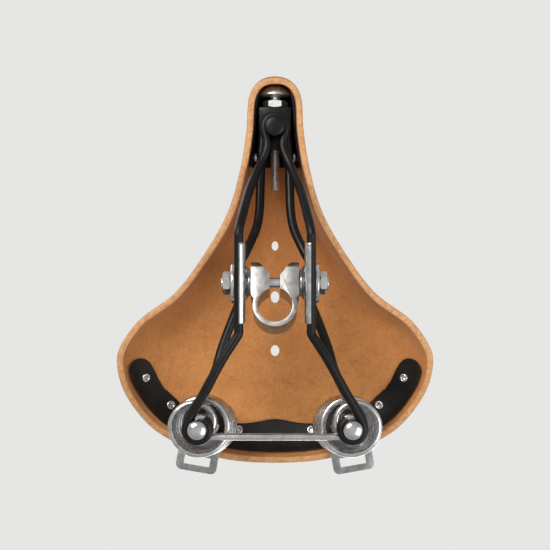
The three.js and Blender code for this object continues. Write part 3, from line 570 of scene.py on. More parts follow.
def formPoint(turn, fall, inset):
    turn, fall, inset = np.broadcast_arrays(
        np.asarray(turn, float), np.asarray(fall, float), np.asarray(inset, float))
    point = outerPoint(turn, fall)
    inward = np.where((fall <= 0)[..., None], np.array([0, 0, -1.0]), inwardAt(turn, fall))
    return point + inward * inset[..., None]


def fallAt(turn, fromRim):
    rimX, rimY = rimPoint(turn)
    reach = np.hypot(rimX, rimY - crownBeside(rimY))
    share = 1 - fromRim / reach
    return np.arcsin(share ** (alongSaddle(form["squareness"], rimY) / 2)) * 2 / math.pi


# Leather top: one moulded hide, its rim rounded over, with three vents

leatherTop = {"around": 440, "down": 42, "edgeSteps": 9, "edgeRound": 1.7, "lastFall": 0.965,
              "edgeReach": 3.2, "wobble": 0.14}
vents = ({"behindNose": 111.7, "width": 4.6, "length": 6.4},
         {"behindNose": 147, "width": 5.8, "length": 8},
         {"behindNose": 184.4, "width": 6, "length": 7.8})

rivets = {
    "cantle": {"plate": 1.8, "flange": 3.2, "sites": [
        {"along": 0.649, "fromRim": 13}, {"along": 0.722, "fromRim": 19},
        {"along": 0.894, "fromRim": 20.5}]},
    "nose": {"plate": 1.2, "flange": 3.7, "sites": [
        {"along": 0.085, "fall": 0.6}, {"along": 0.165, "fall": 0.62}]},
    "shank": 2, "head": 4.3, "headRise": 1.6, "bore": 1.25, "gap": 0.3,
}


def rivetSites(group):
    made = []
    for _, sign in sides:
        for site in rivets[group]["sites"]:
            turn = site["along"] if sign > 0 else 2 - site["along"]
            fall = site["fall"] if "fall" in site else float(fallAt(turn, site["fromRim"]))
            made.append((outerPoint(turn, fall), -inwardAt(turn, fall)))
    return made


def standing(at, outward):
    turn = Vector((0, 0, 1)).rotation_difference(Vector(outward)).to_matrix().to_4x4()
    return Matrix.Translation(Vector(at) * mm) @ turn


def drillForRivets(piece, group):
    drills = None
    for at, outward in rivetSites(group):
        drill = rod("drill", rivets["shank"] + rivets["gap"], -15, 15, "Z", (0, 0, 0), 0.1, 32)
        drill.data.transform(standing(at, outward))
        drills = combine(drills, drill, "UNION") if drills else drill
    return combine(piece, drills)


def formLoop(turn, falls, outerInset, innerInset, roundBy, steps):
    # one section of a sheet that follows the form, from the crown down and back up inside
    last = falls[-1]
    outer = formPoint(turn, falls, outerInset)
    inner = formPoint(turn, falls[::-1], innerInset)
    down = outer[-1] - outer[-2]
    down = down / np.linalg.norm(down)
    turnIn = np.linspace(0, math.pi, steps + 2)[1:-1]
    middle = (formPoint(turn, last, outerInset) + formPoint(turn, last, innerInset)) / 2
    half = (formPoint(turn, last, outerInset) - formPoint(turn, last, innerInset)) / 2
    rounded = [middle + half * math.cos(a) + down * roundBy * math.sin(a) for a in turnIn]
    return np.vstack([outer, rounded, inner])


def makeLeather():
    falls = np.concatenate([np.linspace(0, 0.9, leatherTop["down"] - 6), np.linspace(0.9, 1, 8)[1:]])
    stations = []
    for i in range(leatherTop["around"]):
        turn = 2 * i / leatherTop["around"]
        # the rim stops short of the form's edge by what the rounding adds back
        low, high = 0.9, 1.0
        rimZ = float(outerPoint(turn, 1.0)[2])
        for _ in range(18):
            half = (low + high) / 2
            low, high = (half, high) if float(outerPoint(turn, half)[2]) - rimZ > leatherTop["edgeRound"] else (low, half)
        section = falls * low
        wobble = leatherTop["wobble"] * (
            np.sin(turn * 7 * math.pi + section * 9) + 0.6 * np.sin(turn * 13 * math.pi - section * 17))
        wobble = (wobble * np.clip(section * 4, 0, 1))[::-1]
        outer = formPoint(turn, section, 0)
        inner = formPoint(turn, section[::-1], form["thickness"] + wobble)
        down = outer[-1] - outer[-2]
        down = down / np.linalg.norm(down)
        angles = np.linspace(0, math.pi, leatherTop["edgeSteps"] + 2)[1:-1]
        middle, half = (outer[-1] + inner[0]) / 2, (outer[-1] - inner[0]) / 2
        rounded = [middle + half * math.copysign(abs(math.cos(a)) ** 0.7, math.cos(a))
                   + down * leatherTop["edgeRound"] * math.sin(a) ** 0.7 for a in angles]
        stations.append(np.vstack([outer, rounded, inner]))
    points, faces = loft(stations, True, False)
    top = pieceFrom("leatherTop", points, faces)
    cutters = None
    for vent in vents:
        outline = [(vent["width"] / 2 * math.cos(a), form["noseY"] + vent["behindNose"]
                    + vent["length"] / 2 * math.sin(a)) for a in np.linspace(0, 2 * math.pi, 49)[:-1]]
        cutter = prism("vent", outline, 50, 100)
        cutters = combine(cutters, cutter, "UNION") if cutters else cutter
    combine(top, cutters)
    drillForRivets(top, "cantle")
    drillForRivets(top, "nose")
    mesh = top.data
    mesh.materials.clear()
    for material in (flesh, grain, edge):
        mesh.materials.append(material)
    paintLeather(mesh)
    mesh.shade_smooth()
    mesh.set_sharp_from_angle(angle=math.radians(40))
    return place(top, "top", "leather", "leather_top")


def paintLeather(mesh):
    # grain outside, flesh inside, and the cut edge round the rim and through the vents
    count = len(mesh.polygons)
    centres = np.empty(count * 3)
    mesh.polygons.foreach_get("center", centres)
    normals = np.empty(count * 3)
    mesh.polygons.foreach_get("normal", normals)
    centres, normals = centres.reshape(-1, 3) / mm, normals.reshape(-1, 3)
    turns = np.linspace(0, 2, 721)[:-1]
    falls = np.linspace(0.02, 1, 60)
    outer = formPoint(turns[:, None], falls[None, :], 0).reshape(-1, 3)
    inward = inwardAt(turns[:, None], falls[None, :]).reshape(-1, 3)
    from mathutils import kdtree
    tree = kdtree.KDTree(len(outer))
    for i, point in enumerate(outer):
        tree.insert(point, i)
    tree.balance()
    slots = np.zeros(count, int)
    for i in range(count):
        _, near, _ = tree.find(centres[i])
        facing = float(np.dot(normals[i], inward[near]))
        slots[i] = 0 if facing > 0.72 else 1 if facing < -0.72 else 2
    mesh.polygons.foreach_set("material_index", slots)


makeLeather()
print("leather top made")


# Pressed plates riveted under the hide

cantlePlate = {"start": 0.612, "margin": 7.5, "band": 20, "wing": 14, "widening": 0.1, "endRound": 0.03, "inset": 4.8,
               "thickness": 1.8, "lobe": 13, "lobeX": 45.6, "lobeY": 79.5, "columns": 22}
nosePlate = {"length": 58, "lowest": 36, "inset": 4.8, "thickness": 1.2}


def fallInside(turn, fromRim, inset):
    # the fall at which a surface below the form lies this far inside the rim in plan
    falls = np.linspace(0.05, 1, 160)
    points = formPoint(turn, falls, inset)
    rimX, rimY = rimPoint(turn)
    toCrown = np.array([-rimX, crownBeside(rimY) - rimY])
    toCrown = toCrown / np.linalg.norm(toCrown)
    away = (points[:, 0] - rimX) * toCrown[0] + (points[:, 1] - rimY) * toCrown[1]
    return np.interp(fromRim, away[::-1], falls[::-1])


def lobeSpan(turn):
    # distances from the rim at which the line to the crown crosses the round seat of the spring
    rimX, rimY = (float(v) for v in rimPoint(turn))
    toCrown = np.array([-rimX, float(crownBeside(rimY)) - rimY])
    toCrown = toCrown / np.linalg.norm(toCrown)
    centre = np.array([math.copysign(cantlePlate["lobeX"], rimX) - rimX, cantlePlate["lobeY"] - rimY])
    ahead = float(np.dot(centre, toCrown))
    aside = float(np.dot(centre, centre)) - ahead ** 2
    inside = cantlePlate["lobe"] ** 2 - aside
    return (ahead - math.sqrt(inside), ahead + math.sqrt(inside)) if inside > 0 else None


def makeCantlePlate():
    look = cantlePlate
    ends = (1 - np.cos(np.linspace(0.02, 1, 14) * math.pi / 2)) * look["endRound"]
    startTurn = look["start"]
    middle = np.linspace(startTurn + look["endRound"], 2 - startTurn - look["endRound"], 220)
    turns = np.concatenate([startTurn + ends[:-1], middle, (2 - startTurn - ends[:-1])[::-1]])
    near = np.full(len(turns), float(look["margin"]))
    past = np.minimum(turns - startTurn, 2 - startTurn - turns)
    grown = np.clip(past / look["widening"], 0, 1)
    far = look["margin"] + look["wing"] + (look["band"] - look["wing"]) * grown ** 2 * (3 - 2 * grown)
    for i, turn in enumerate(turns):
        span = lobeSpan(turn)
        if span:
            near[i], far[i] = min(near[i], span[0]), max(far[i], span[1])
    kernel = np.hanning(9)[1:-1]
    kernel = kernel / kernel.sum()
    far = np.convolve(np.pad(far, 3, mode="edge"), kernel, mode="valid")
    stations = []
    for i, turn in enumerate(turns):
        fromEnd = min(turn - startTurn, 2 - startTurn - turn) / look["endRound"]
        full = math.sqrt(max(0, 1 - (1 - min(fromEnd, 1)) ** 2))
        centre, half = (near[i] + far[i]) / 2, max(full, 0.04) * (far[i] - near[i]) / 2
        across = centre + np.linspace(-1, 1, look["columns"]) * half
        upperInset, lowerInset = look["inset"], look["inset"] + look["thickness"]
        upper = formPoint(turn, fallInside(turn, across, upperInset), upperInset)
        lower = formPoint(turn, fallInside(turn, across, lowerInset), lowerInset)[::-1]
        section = [upper]
        for a, b, out in ((upper[-1], lower[0], upper[-1] - upper[-2]),
                          (lower[-1], upper[0], upper[0] - upper[1])):
            out = out / np.linalg.norm(out) * look["thickness"] / 2
            mid, halfway = (a + b) / 2, (a - b) / 2
            rounded = [mid + halfway * math.cos(t) + out * math.sin(t)
                       for t in np.linspace(0, math.pi, 6)[1:-1]]
            section.append(np.array(rounded))
            if len(section) == 2:
                section.append(lower)
        stations.append(np.vstack(section))
    points, faces = loft(stations, False, True, caps=True)
    plate = pieceFrom("cantlePlate", points, faces, plateEnamel)
    drillForRivets(plate, "cantle")
    cleanMesh(plate.data)
    return place(plate, "top", "black_enamel", "cantle_plate")


def makeNosePlate():
    look = nosePlate
    table = np.linspace(0, 1, 2001)
    rearTurn = float(np.interp(form["noseY"] + look["length"], rimPoint(table)[1], table))
    stations = []
    for turn in np.linspace(-rearTurn, rearTurn, 151):
        rimY = float(rimPoint(turn)[1])
        rimZ = float(alongSaddle(form["rimHeights"], rimY))
        crownZ = float(alongSaddle(form["crownHeights"], crownBeside(rimY)))
        power = 2 / float(alongSaddle(form["squareness"], rimY))
        upward = (look["lowest"] + 0.6 - rimZ) / (crownZ - rimZ)
        last = math.acos(upward ** (1 / power)) * 2 / math.pi
        stations.append(formLoop(turn, np.linspace(0, last, 34), look["inset"],
                                 look["inset"] + look["thickness"], look["thickness"] / 2, 4))
    points, faces = loft(stations, False, False)
    plate = pieceFrom("nosePlate", points, faces)
    work = bmesh.new()
    work.from_mesh(plate.data)
    bmesh.ops.holes_fill(work, edges=[e for e in work.edges if e.is_boundary])
    bmesh.ops.recalc_face_normals(work, faces=work.faces)
    work.to_mesh(plate.data)
    work.free()
    return plate


# The tension pin: a domed head that bears in the nose, a neck, and a long screwed tail
pin = {"height": 48.5, "headRadius": 10, "headDepth": 5.8, "lip": 1.2, "neck": 3.55, "thread": 3,
       "front": -150.2, "neckEnd": -142, "tailEnd": -79.1, "pitch": 1.25}


def pinProfile(grow=0.0, reach=None):
    sphere = (pin["headRadius"] ** 2 + pin["headDepth"] ** 2) / (2 * pin["headDepth"])
    centre = pin["front"] + sphere
    radius = sphere + grow
    rows = []
    for i in range(15):
        r = (pin["headRadius"] + grow) * i / 14
        rows.append((r, centre - math.sqrt(max(radius ** 2 - r ** 2, 0))))
    back = pin["front"] + pin["headDepth"] + pin["lip"]
    if reach:
        return rows + [(pin["headRadius"] + grow, reach), (0, reach)]
    rows += [(pin["headRadius"], back - 0.35), (pin["headRadius"] - 0.35, back)]
    rows += [(pin["neck"] + 0.8, back), (pin["neck"], back + 0.8), (pin["neck"], pin["neckEnd"] - 0.4)]
    rows += [(pin["neck"] - 0.4, pin["neckEnd"]), (pin["thread"] - 0.35, pin["neckEnd"])]
    return rows + [(pin["thread"] - 0.35, pin["tailEnd"] - 1), (pin["thread"] - 1, pin["tailEnd"]),
                   (0, pin["tailEnd"])]


makeCantlePlate()
nosePiece = makeNosePlate()
combine(nosePiece, turned("dish", pinProfile(0.3, -140.9), "Y", (0, 0, pin["height"])))
combine(nosePiece, block("mouth", (-60, -175, 0), (60, pin["front"] + pin["headDepth"] + pin["lip"], pin["height"])))
drillForRivets(nosePiece, "nose")
nosePiece.data.materials.clear()
nosePiece.data.materials.append(plateEnamel)
cleanMesh(nosePiece.data)
place(nosePiece, "top", "black_enamel", "nose_plate")
print("plates made")


# Geometry Nodes: round wire along a path

def makeWireTree():
    tree = bpy.data.node_groups.new("wireOnPath", "GeometryNodeTree")
    sockets = tree.interface
    sockets.new_socket("Path", in_out="INPUT", socket_type="NodeSocketGeometry")
    sockets.new_socket("Wire radius", in_out="INPUT", socket_type="NodeSocketFloat")
    sockets.new_socket("Facets", in_out="INPUT", socket_type="NodeSocketInt")
    sockets.new_socket("Finish", in_out="INPUT", socket_type="NodeSocketMaterial")
    sockets.new_socket("Wire", in_out="OUTPUT", socket_type="NodeSocketGeometry")
    given = addNode(tree, "NodeGroupInput")
    path = addNode(tree, "GeometryNodeMeshToCurve", {"Mesh": given.outputs["Path"]})
    section = addNode(tree, "GeometryNodeCurvePrimitiveCircle", {
        "Resolution": given.outputs["Facets"], "Radius": given.outputs["Wire radius"]})
    wire = addNode(tree, "GeometryNodeCurveToMesh", {
        "Curve": path.outputs["Curve"], "Profile Curve": section.outputs["Curve"],
        "Fill Caps": True})
    whole = addNode(tree, "GeometryNodeRealizeInstances", {"Geometry": wire.outputs["Mesh"]})
    coated = addNode(tree, "GeometryNodeSetMaterial", {
        "Geometry": whole.outputs["Geometry"], "Material": given.outputs["Finish"]})
    addNode(tree, "NodeGroupOutput", {"Wire": coated.outputs["Geometry"]})
    return tree


# Geometry Nodes: one rivet stood on each point along its outward direction, each turned at random
def makeRivetTree():
    tree = bpy.data.node_groups.new("rivetsOnPoints", "GeometryNodeTree")
    sockets = tree.interface
    sockets.new_socket("Points", in_out="INPUT", socket_type="NodeSocketGeometry")
    sockets.new_socket("Rivet", in_out="INPUT", socket_type="NodeSocketObject")
    sockets.new_socket("Seed", in_out="INPUT", socket_type="NodeSocketInt")
    sockets.new_socket("Finish", in_out="INPUT", socket_type="NodeSocketMaterial")
    sockets.new_socket("Rivets", in_out="OUTPUT", socket_type="NodeSocketGeometry")
    given = addNode(tree, "NodeGroupInput")
    rivet = addNode(tree, "GeometryNodeObjectInfo", {"Object": given.outputs["Rivet"]})
    outward = addNode(tree, "GeometryNodeInputNamedAttribute", {"Name": "outward"},
                      data_type="FLOAT_VECTOR")
    spin = addNode(tree, "FunctionNodeRandomValue", {
        "Seed": given.outputs["Seed"], 2: 0.0, 3: 2 * math.pi}, data_type="FLOAT")
    turn = addNode(tree, "FunctionNodeAxisAngleToRotation", {
        "Axis": (0, 0, 1), "Angle": spin.outputs[1]})
    stand = addNode(tree, "FunctionNodeAlignRotationToVector", {
        "Rotation": turn.outputs["Rotation"], "Vector": outward.outputs["Attribute"]}, axis="Z")
    placed = addNode(tree, "GeometryNodeInstanceOnPoints", {
        "Points": given.outputs["Points"], "Instance": rivet.outputs["Geometry"],
        "Rotation": stand.outputs["Rotation"]})
    whole = addNode(tree, "GeometryNodeRealizeInstances", {"Geometry": placed.outputs["Instances"]})
    coated = addNode(tree, "GeometryNodeSetMaterial", {
        "Geometry": whole.outputs["Geometry"], "Material": given.outputs["Finish"]})
    addNode(tree, "NodeGroupOutput", {"Rivets": coated.outputs["Geometry"]})
    return tree


def runTree(piece, tree, values):
    step = piece.modifiers.new(tree.name, "NODES")
    step.node_group = tree
    for item in tree.interface.items_tree:
        if item.in_out == "INPUT" and item.name in values:
            step[item.identifier] = values[item.name]
    settle(piece)
    cleanMesh(piece.data)
    return piece


wireTree = makeWireTree()
rivetTree = makeRivetTree()


def wirePiece(name, path, radius, material, facets=24):
    mesh = bpy.data.meshes.new(name)
    mesh.from_pydata([tuple(p) for p in np.asarray(path) * mm],
                     [(i, i + 1) for i in range(len(path) - 1)], [])
    piece = linkMesh(name, mesh)
    return runTree(piece, wireTree, {"Wire radius": radius * mm, "Facets": facets, "Finish": material})


# Rails: two bent wires, each from a rear eye through the grip and round the nose loop

rails = {
    "radius": 3, "halfSpacing": 23.2, "boltY": -16.534, "gripLead": 3,
    "noseRadius": 7.3, "noseY": -120.5, "eyeX": 49.7, "eyeY": 77.2, "eyeRadius": 7.3,
    "lower": {"noseZ": 29.9, "gripZ": -6.759, "eyeZ": -3, "gripHalf": 29,
              "front": [(0.18, -0.13, 0.02), (0.355, 0.16, 0.1), (0.59, 0.58, 0.4), (0.84, 0.86, 0.82)],
              "rear": [(0.1, 0.11, 0), (0.25, 0.285, 0.05), (0.45, 0.49, 0.25), (0.65, 0.69, 0.6),
                       (0.845, 0.9, 0.92)]},
    "upper": {"noseZ": 36.2, "gripZ": 16.241, "eyeZ": 3.4, "gripHalf": 9,
              "front": [(0.23, 0.12, 0.01), (0.446, 0.157, 0.11), (0.623, 0.2, 0.31),
                        (0.745, 0.33, 0.54), (0.9, 0.72, 0.9)],
              "rear": [(0.1, 0.09, 0), (0.237, 0.22, 0.1), (0.395, 0.353, 0.25), (0.549, 0.46, 0.48),
                       (0.7, 0.63, 0.8), (0.86, 0.88, 1)]},
}


def bendsBetween(start, end, bends):
    return [(start[0] + (end[0] - start[0]) * spread, start[1] + (end[1] - start[1]) * along,
             start[2] + (end[2] - start[2]) * drop) for along, spread, drop in bends]


def railPath(which):
    look = rails[which]
    side = []
    for degrees in (0, 30, 60, 90):
        a = math.radians(degrees)
        side.append((rails["noseRadius"] * math.sin(a),
                     rails["noseY"] - rails["noseRadius"] * math.cos(a), look["noseZ"]))
    hold, lead = look["gripHalf"], rails["gripLead"]
    grip = [(rails["halfSpacing"], rails["boltY"] + y, look["gripZ"])
            for y in (-hold - lead, -hold, 0, hold, hold + lead)]
    side += bendsBetween(side[-1], grip[0], look["front"]) + grip
    eye = (rails["eyeX"] + rails["eyeRadius"], rails["eyeY"], look["eyeZ"])
    side += bendsBetween(grip[-1], eye, look["rear"])
    for degrees in range(0, 241, 40):
        a = math.radians(degrees)
        side.append((rails["eyeX"] + rails["eyeRadius"] * math.cos(a),
                     rails["eyeY"] + rails["eyeRadius"] * math.sin(a), look["eyeZ"]))
    points = [(-x, y, z) for x, y, z in side[1:]][::-1] + side
    return splineAt(points, np.linspace(0, 1, (len(points) - 1) * 9 + 1))


for which in ("lower", "upper"):
    rail = wirePiece(which + "RailWire", railPath(which), rails["radius"], enamel)
    place(rail, "undercarriage", "black_enamel", which + "_rail")
print("rails made")


# Springs: a flat spiral out of the foot eye, rising turns, and a flat spiral back in

springs = {"wire": 2.1, "radius": 18.2, "eye": 6.2, "turns": 4.5, "footX": 49.7, "footY": 77.2,
           "topX": 45.6, "topY": 79.5, "footZ": 13.8, "topZ": 47.5, "keep": 0.61}


def springPath(sign):
    turns = springs["turns"] + 2
    turn = np.linspace(0, turns, int(turns * 44) + 1)
    rise = np.clip((turn - 1) / springs["turns"], 0, 1)
    opening = np.clip(np.minimum(turn, turns - turn), 0, 1)
    t = np.clip((opening - 0.25) / 0.75, 0, 1)
    radius = springs["eye"] + (springs["radius"] - springs["eye"]) * t * t * (3 - 2 * t)
    angle = turn * 2 * math.pi
    x = springs["footX"] + (springs["topX"] - springs["footX"]) * rise + radius * np.cos(angle)
    y = springs["footY"] + (springs["topY"] - springs["footY"]) * rise + radius * np.sin(angle)
    z = springs["footZ"] + (springs["topZ"] - springs["footZ"]) * rise
    return np.stack([sign * x, y, z], axis=-1)


for side, sign in sides:
    spring = wirePiece(side + "Spring", springPath(sign), springs["wire"], springSteel, 18)
    place(spring, "undercarriage", "spring_chrome", "spring_" + side)
    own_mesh(spring)
print("springs made")


# Rivets: a domed head outside, and a tubular end rolled over the plate inside, split where it opened

def makeRivetTemplate(group):
    look = rivets[group]
    under = -(form["thickness"] + 0.3 + look["plate"] + 0.15)
    roll = 1.25
    lipMiddle = (rivets["bore"] + look["flange"]) / 2
    lipHalf = (look["flange"] - rivets["bore"]) / 2

    def split(angle):
        away = abs((angle + math.pi) % (2 * math.pi) - math.pi)
        return max(0, 1 - (away / 0.2) ** 2)

    profile = [(0, under + 1.6), (rivets["bore"], under + 1.6)]
    for t in np.linspace(math.pi, 0, 9):
        profile.append((lambda a, t=t: lipMiddle + lipHalf * math.cos(t) * (1 - 0.35 * split(a)),
                        lambda a, t=t: under - roll * math.sin(t) * (1 - 0.85 * split(a))))
    profile += [(rivets["shank"], under), (rivets["shank"], 0.05), (rivets["head"], 0.05)]
    for t in np.linspace(0, math.pi / 2, 8):
        profile.append((rivets["head"] * math.cos(t), 0.4 + (rivets["headRise"] - 0.4) * math.sin(t)))
    profile[-1] = (0, rivets["headRise"])
    return turned("rivetTemplate", profile, "Z", facets=48)


for group in ("cantle", "nose"):
    sites = rivetSites(group)
    mesh = bpy.data.meshes.new(group + "Rivets")
    mesh.from_pydata([tuple(np.array(at) * mm) for at, _ in sites], [], [])
    facing = mesh.attributes.new("outward", "FLOAT_VECTOR", "POINT")
    facing.data.foreach_set("vector", np.array([out for _, out in sites], float).ravel())
    rivetPiece = linkMesh(group + "Rivets", mesh)
    template = makeRivetTemplate(group)
    runTree(rivetPiece, rivetTree, {"Rivet": template, "Seed": 4, "Finish": chrome})
    bpy.data.objects.remove(template)
    names = [f"{group}_rivet_{side}_{i + 1}" for side, _ in sides
             for i in range(len(rivets[group]["sites"]))]
    place(rivetPiece, "top", "chrome", *names)
print("rivets made")


# Seat-post clamp: a bent band with two rounded ears, its edges tumbled

clampBand = {"bore": 11.1, "wall": 3, "height": 22, "earReach": 30.5, "earHalf": 15.4,
             "earRadius": 13.5, "slot": 6.8, "notch": 22.4, "notchDepth": 11, "bolt": 17.2, "lean": math.radians(16)}


def makeClampBand():
    look = clampBand
    outer = look["bore"] + look["wall"]
    half = look["height"] / 2
    front = [(-look["earHalf"], -outer / 2), (-look["earHalf"], -look["earReach"]),
             (-look["notch"] / 2, -look["earReach"]),
             (-look["slot"] / 2, -look["earReach"] + look["notchDepth"])]
    frontRight = [(-x, y) for x, y in front][::-1]
    radii = [0, 5, 4.5, 3]
    ears = eased(front + frontRight, radii + radii[::-1], 8, closed=True)
    arc = [(outer * math.cos(a), outer * math.sin(a))
           for a in np.linspace(-0.3, math.pi + 0.3, 73)]
    body = prism("seatPostClampBand", ears + arc, -half, half)
    side = [(outer + 1, -half), (outer + 1, half)]
    ease = math.asin(half / look["earRadius"])
    side += [(-look["bolt"] - look["earRadius"] * math.cos(a), look["earRadius"] * math.sin(a))
             for a in np.linspace(ease, -ease, 49)]
    combine(body, prism("side", side, -30, 30, axis="X"), "INTERSECT")
    combine(body, rod("bore", look["bore"], -half - 1, half + 1, "Z", (0, 0, 0), 0.01, 112))
    combine(body, block("slot", (-look["slot"] / 2, -look["earReach"] - 1, -half - 1),
                        (look["slot"] / 2, 0, half + 1)))
    combine(body, rod("hole", 3.8, -30, 30, "X", (0, -look["bolt"], 0), 0.01, 48))
    softenEdges(body, 0.9, 3, 32)
    body.data.transform(Matrix.Rotation(-look["lean"], 4, "X"))
    body.data.materials.append(satinNickel)
    return place(body, "seat_clamp", "cast_steel", "seatpost_clamp_band")


makeClampBand()

cradle = {"boltY": -16.534, "boltZ": 4.741, "hubX": 15.7, "discX": 17.6, "innerFace": 22.9,
          "discOuter": 25.2, "outerFace": 28.5, "nutX": 28.8, "nutThickness": 5, "boltEnd": 34.8,
          "lowerZ": -6.759, "upperZ": 16.241, "tube": 4.4, "groove": 3.3, "lowerHalf": 26,
          "upperHalf": 6, "voxel": 0.42}


def makeInnerCheek(side, sign):
    # pressed from plate: half tubes over the wires that swell into the disc round the bolt
    look = cradle
    at = (0, look["boltY"], look["boltZ"])
    ends = sorted((sign * look["discX"], sign * 27))
    cheek = rod(side + "InnerCheek", 11.5, *ends, "X", at, 1.6)
    hub = sorted((sign * look["hubX"], sign * 20))
    combine(cheek, rod("hub", 9, *hub, "X", at, 0.7), "UNION")
    for z, half in ((look["lowerZ"], look["lowerHalf"]), (look["upperZ"], look["upperHalf"])):
        tube = rod("tube", look["tube"], look["boltY"] - half, look["boltY"] + half, "Y",
                   (sign * rails["halfSpacing"], 0, z), 0.8)
        combine(cheek, tube, "UNION")
    remesh = cheek.modifiers.new("flow", "REMESH")
    remesh.mode = "VOXEL"
    remesh.voxel_size = look["voxel"] * mm
    smooth = cheek.modifiers.new("press", "SMOOTH")
    smooth.factor = 0.5
    smooth.iterations = 14
    settle(cheek)
    away = sorted((sign * look["innerFace"], sign * 60))
    combine(cheek, block("cut", (away[0], -60, -30), (away[1], 30, 40)))
    for z in (look["lowerZ"], look["upperZ"]):
        groove = rod("groove", look["groove"], -60, 30, "Y", (sign * rails["halfSpacing"], 0, z), 0.01)
        combine(cheek, groove)
    combine(cheek, rod("hole", 3.8, -60, 60, "X", at, 0.01, 48))
    cleanMesh(cheek.data, 48)
    cheek.data.materials.append(chrome)
    return place(cheek, "cradle", "chrome", "inner_cheek_" + side)


def makeOuterCheek(side, sign):
    look = cradle
    at = (0, look["boltY"], look["boltZ"])
    rim = look["outerFace"]
    profile = eased([(0, look["discOuter"]), (13, look["discOuter"]), (13, rim - 0.4), (11.6, rim),
                     (0, rim)], [0, 0.5, 0.9, 0.9, 0])
    if sign < 0:
        profile = [(r, -a) for r, a in profile]
    cheek = turned(side + "OuterCheek", profile, "X", at, None, 96)
    core = sorted((sign * 23.2, sign * (look["discOuter"] + 0.5)))
    combine(cheek, rod("core", 7.5, *core, "X", at, 0.2), "UNION")
    for z in (look["lowerZ"], look["upperZ"]):
        groove = rod("groove", look["groove"], -60, 30, "Y", (sign * rails["halfSpacing"], 0, z), 0.01)
        combine(cheek, groove)
    combine(cheek, rod("hole", 3.8, -60, 60, "X", at, 0.01, 48))
    cleanMesh(cheek.data)
    cheek.data.materials.append(chrome)
    return place(cheek, "cradle", "chrome", "outer_cheek_" + side)


for side, sign in sides:
    makeInnerCheek(side, sign)
    makeOuterCheek(side, sign)
    ends = sorted((sign * cradle["nutX"], sign * (cradle["nutX"] + cradle["nutThickness"])))
    nut = hexNut(side + "ClampNut", 13, *ends, 3.8, "X", (0, cradle["boltY"], cradle["boltZ"]), chrome,
                 math.pi / 6)
    place(nut, "seat_clamp", "chrome", "clamp_nut_" + side)
crossBolt = rod("clampCrossBolt", 3.5, -cradle["boltEnd"], cradle["boltEnd"], "X",
                (0, cradle["boltY"], cradle["boltZ"]), 0.8, 64, chrome)
place(crossBolt, "seat_clamp", "chrome", "clamp_cross_bolt")
print("clamp and cradle made")


# Rear bolts, their nuts, and the tie rod between them

rearBolts = {"x": 49.7, "y": 77.2, "shank": 3.6, "head": 6.2, "headTop": -6.3, "rise": 3.4,
             "top": 22.2, "nutLow": 16.2, "nutHigh": 21.2, "seatX": 45.6, "seatY": 79.5,
             "seatNutLow": 40.6, "seatNutHigh": 45.1}
tieRod = {"radius": 2.35, "y": 83.2, "z": 9.05, "lug": 8.8}


def makeFootBolt(side, sign):
    look = rearBolts
    profile = [(0, look["top"]), (look["shank"] - 0.7, look["top"]),
               (look["shank"], look["top"] - 0.7), (look["shank"], look["headTop"]),
               (look["head"] - 0.3, look["headTop"])]
    for t in np.linspace(0, math.pi / 2, 16):
        profile.append((look["head"] * math.cos(t),
                        look["headTop"] - 0.5 - (look["rise"] - 0.5) * math.sin(t)))
    profile[-1] = (0, look["headTop"] - look["rise"])
    bolt = turned(side + "FootBolt", profile, "Z", (sign * look["x"], look["y"], 0), chrome)
    return place(bolt, "undercarriage", "chrome", "spring_foot_bolt_" + side)


for side, sign in sides:
    makeFootBolt(side, sign)
    nut = hexNut(side + "FootNut", 13, rearBolts["nutLow"], rearBolts["nutHigh"], 3.9, "Z",
                 (sign * rearBolts["x"], rearBolts["y"], 0), chrome, 0.3)
    place(nut, "undercarriage", "chrome", "spring_foot_nut_" + side)
    nut = hexNut(side + "SeatNut", 10, rearBolts["seatNutLow"], rearBolts["seatNutHigh"], 3.3, "Z",
                 (sign * rearBolts["seatX"], rearBolts["seatY"], 0), chrome, 0.2)
    place(nut, "top", "chrome", "spring_seat_nut_" + side)

tie = rod("tieRod", tieRod["radius"], -rearBolts["x"], rearBolts["x"], "X",
          (0, tieRod["y"], tieRod["z"]), 0.1, 48)
for _, sign in sides:
    at = (sign * rearBolts["x"], rearBolts["y"], 0)
    low, high = tieRod["z"] - tieRod["radius"], tieRod["z"] + tieRod["radius"]
    combine(tie, rod("lug", tieRod["lug"], low, high, "Z", at, 0.8), "UNION")
    combine(tie, rod("hole", 3.9, -20, 40, "Z", at, 0.01))
cleanMesh(tie.data)
tie.data.materials.append(chrome)
place(tie, "undercarriage", "chrome", "tie_rod")
print("rear bolts and tie rod made")


# Nose: shackle, its bolt, the tension pin and the nut that draws it

noseBolt = {"y": -120.5, "capTop": 26.6, "cap": 6.8, "shank": 3.4, "riveted": 42.3, "head": 5.4}


def refined(node, name, width, segments, material, angle=40):
    # a cleaned copy of a drawn part with its edges broken
    mesh = bpy.data.objects[node].data.copy()
    piece = linkMesh(name, mesh)
    piece.matrix_world = Matrix.Identity(4)
    mesh.materials.clear()
    work = bmesh.new()
    work.from_mesh(mesh)
    bmesh.ops.remove_doubles(work, verts=work.verts, dist=0.01 * mm)
    bmesh.ops.dissolve_limit(work, angle_limit=math.radians(1), verts=work.verts, edges=work.edges)
    work.to_mesh(mesh)
    work.free()
    softenEdges(piece, width, segments, angle)
    piece.data.materials.clear()
    piece.data.materials.append(material)
    return piece


shackle = refined("nose_shackle", "noseShackle", 0.6, 2, enamel)
place(shackle, "undercarriage", "black_enamel", "nose_shackle")

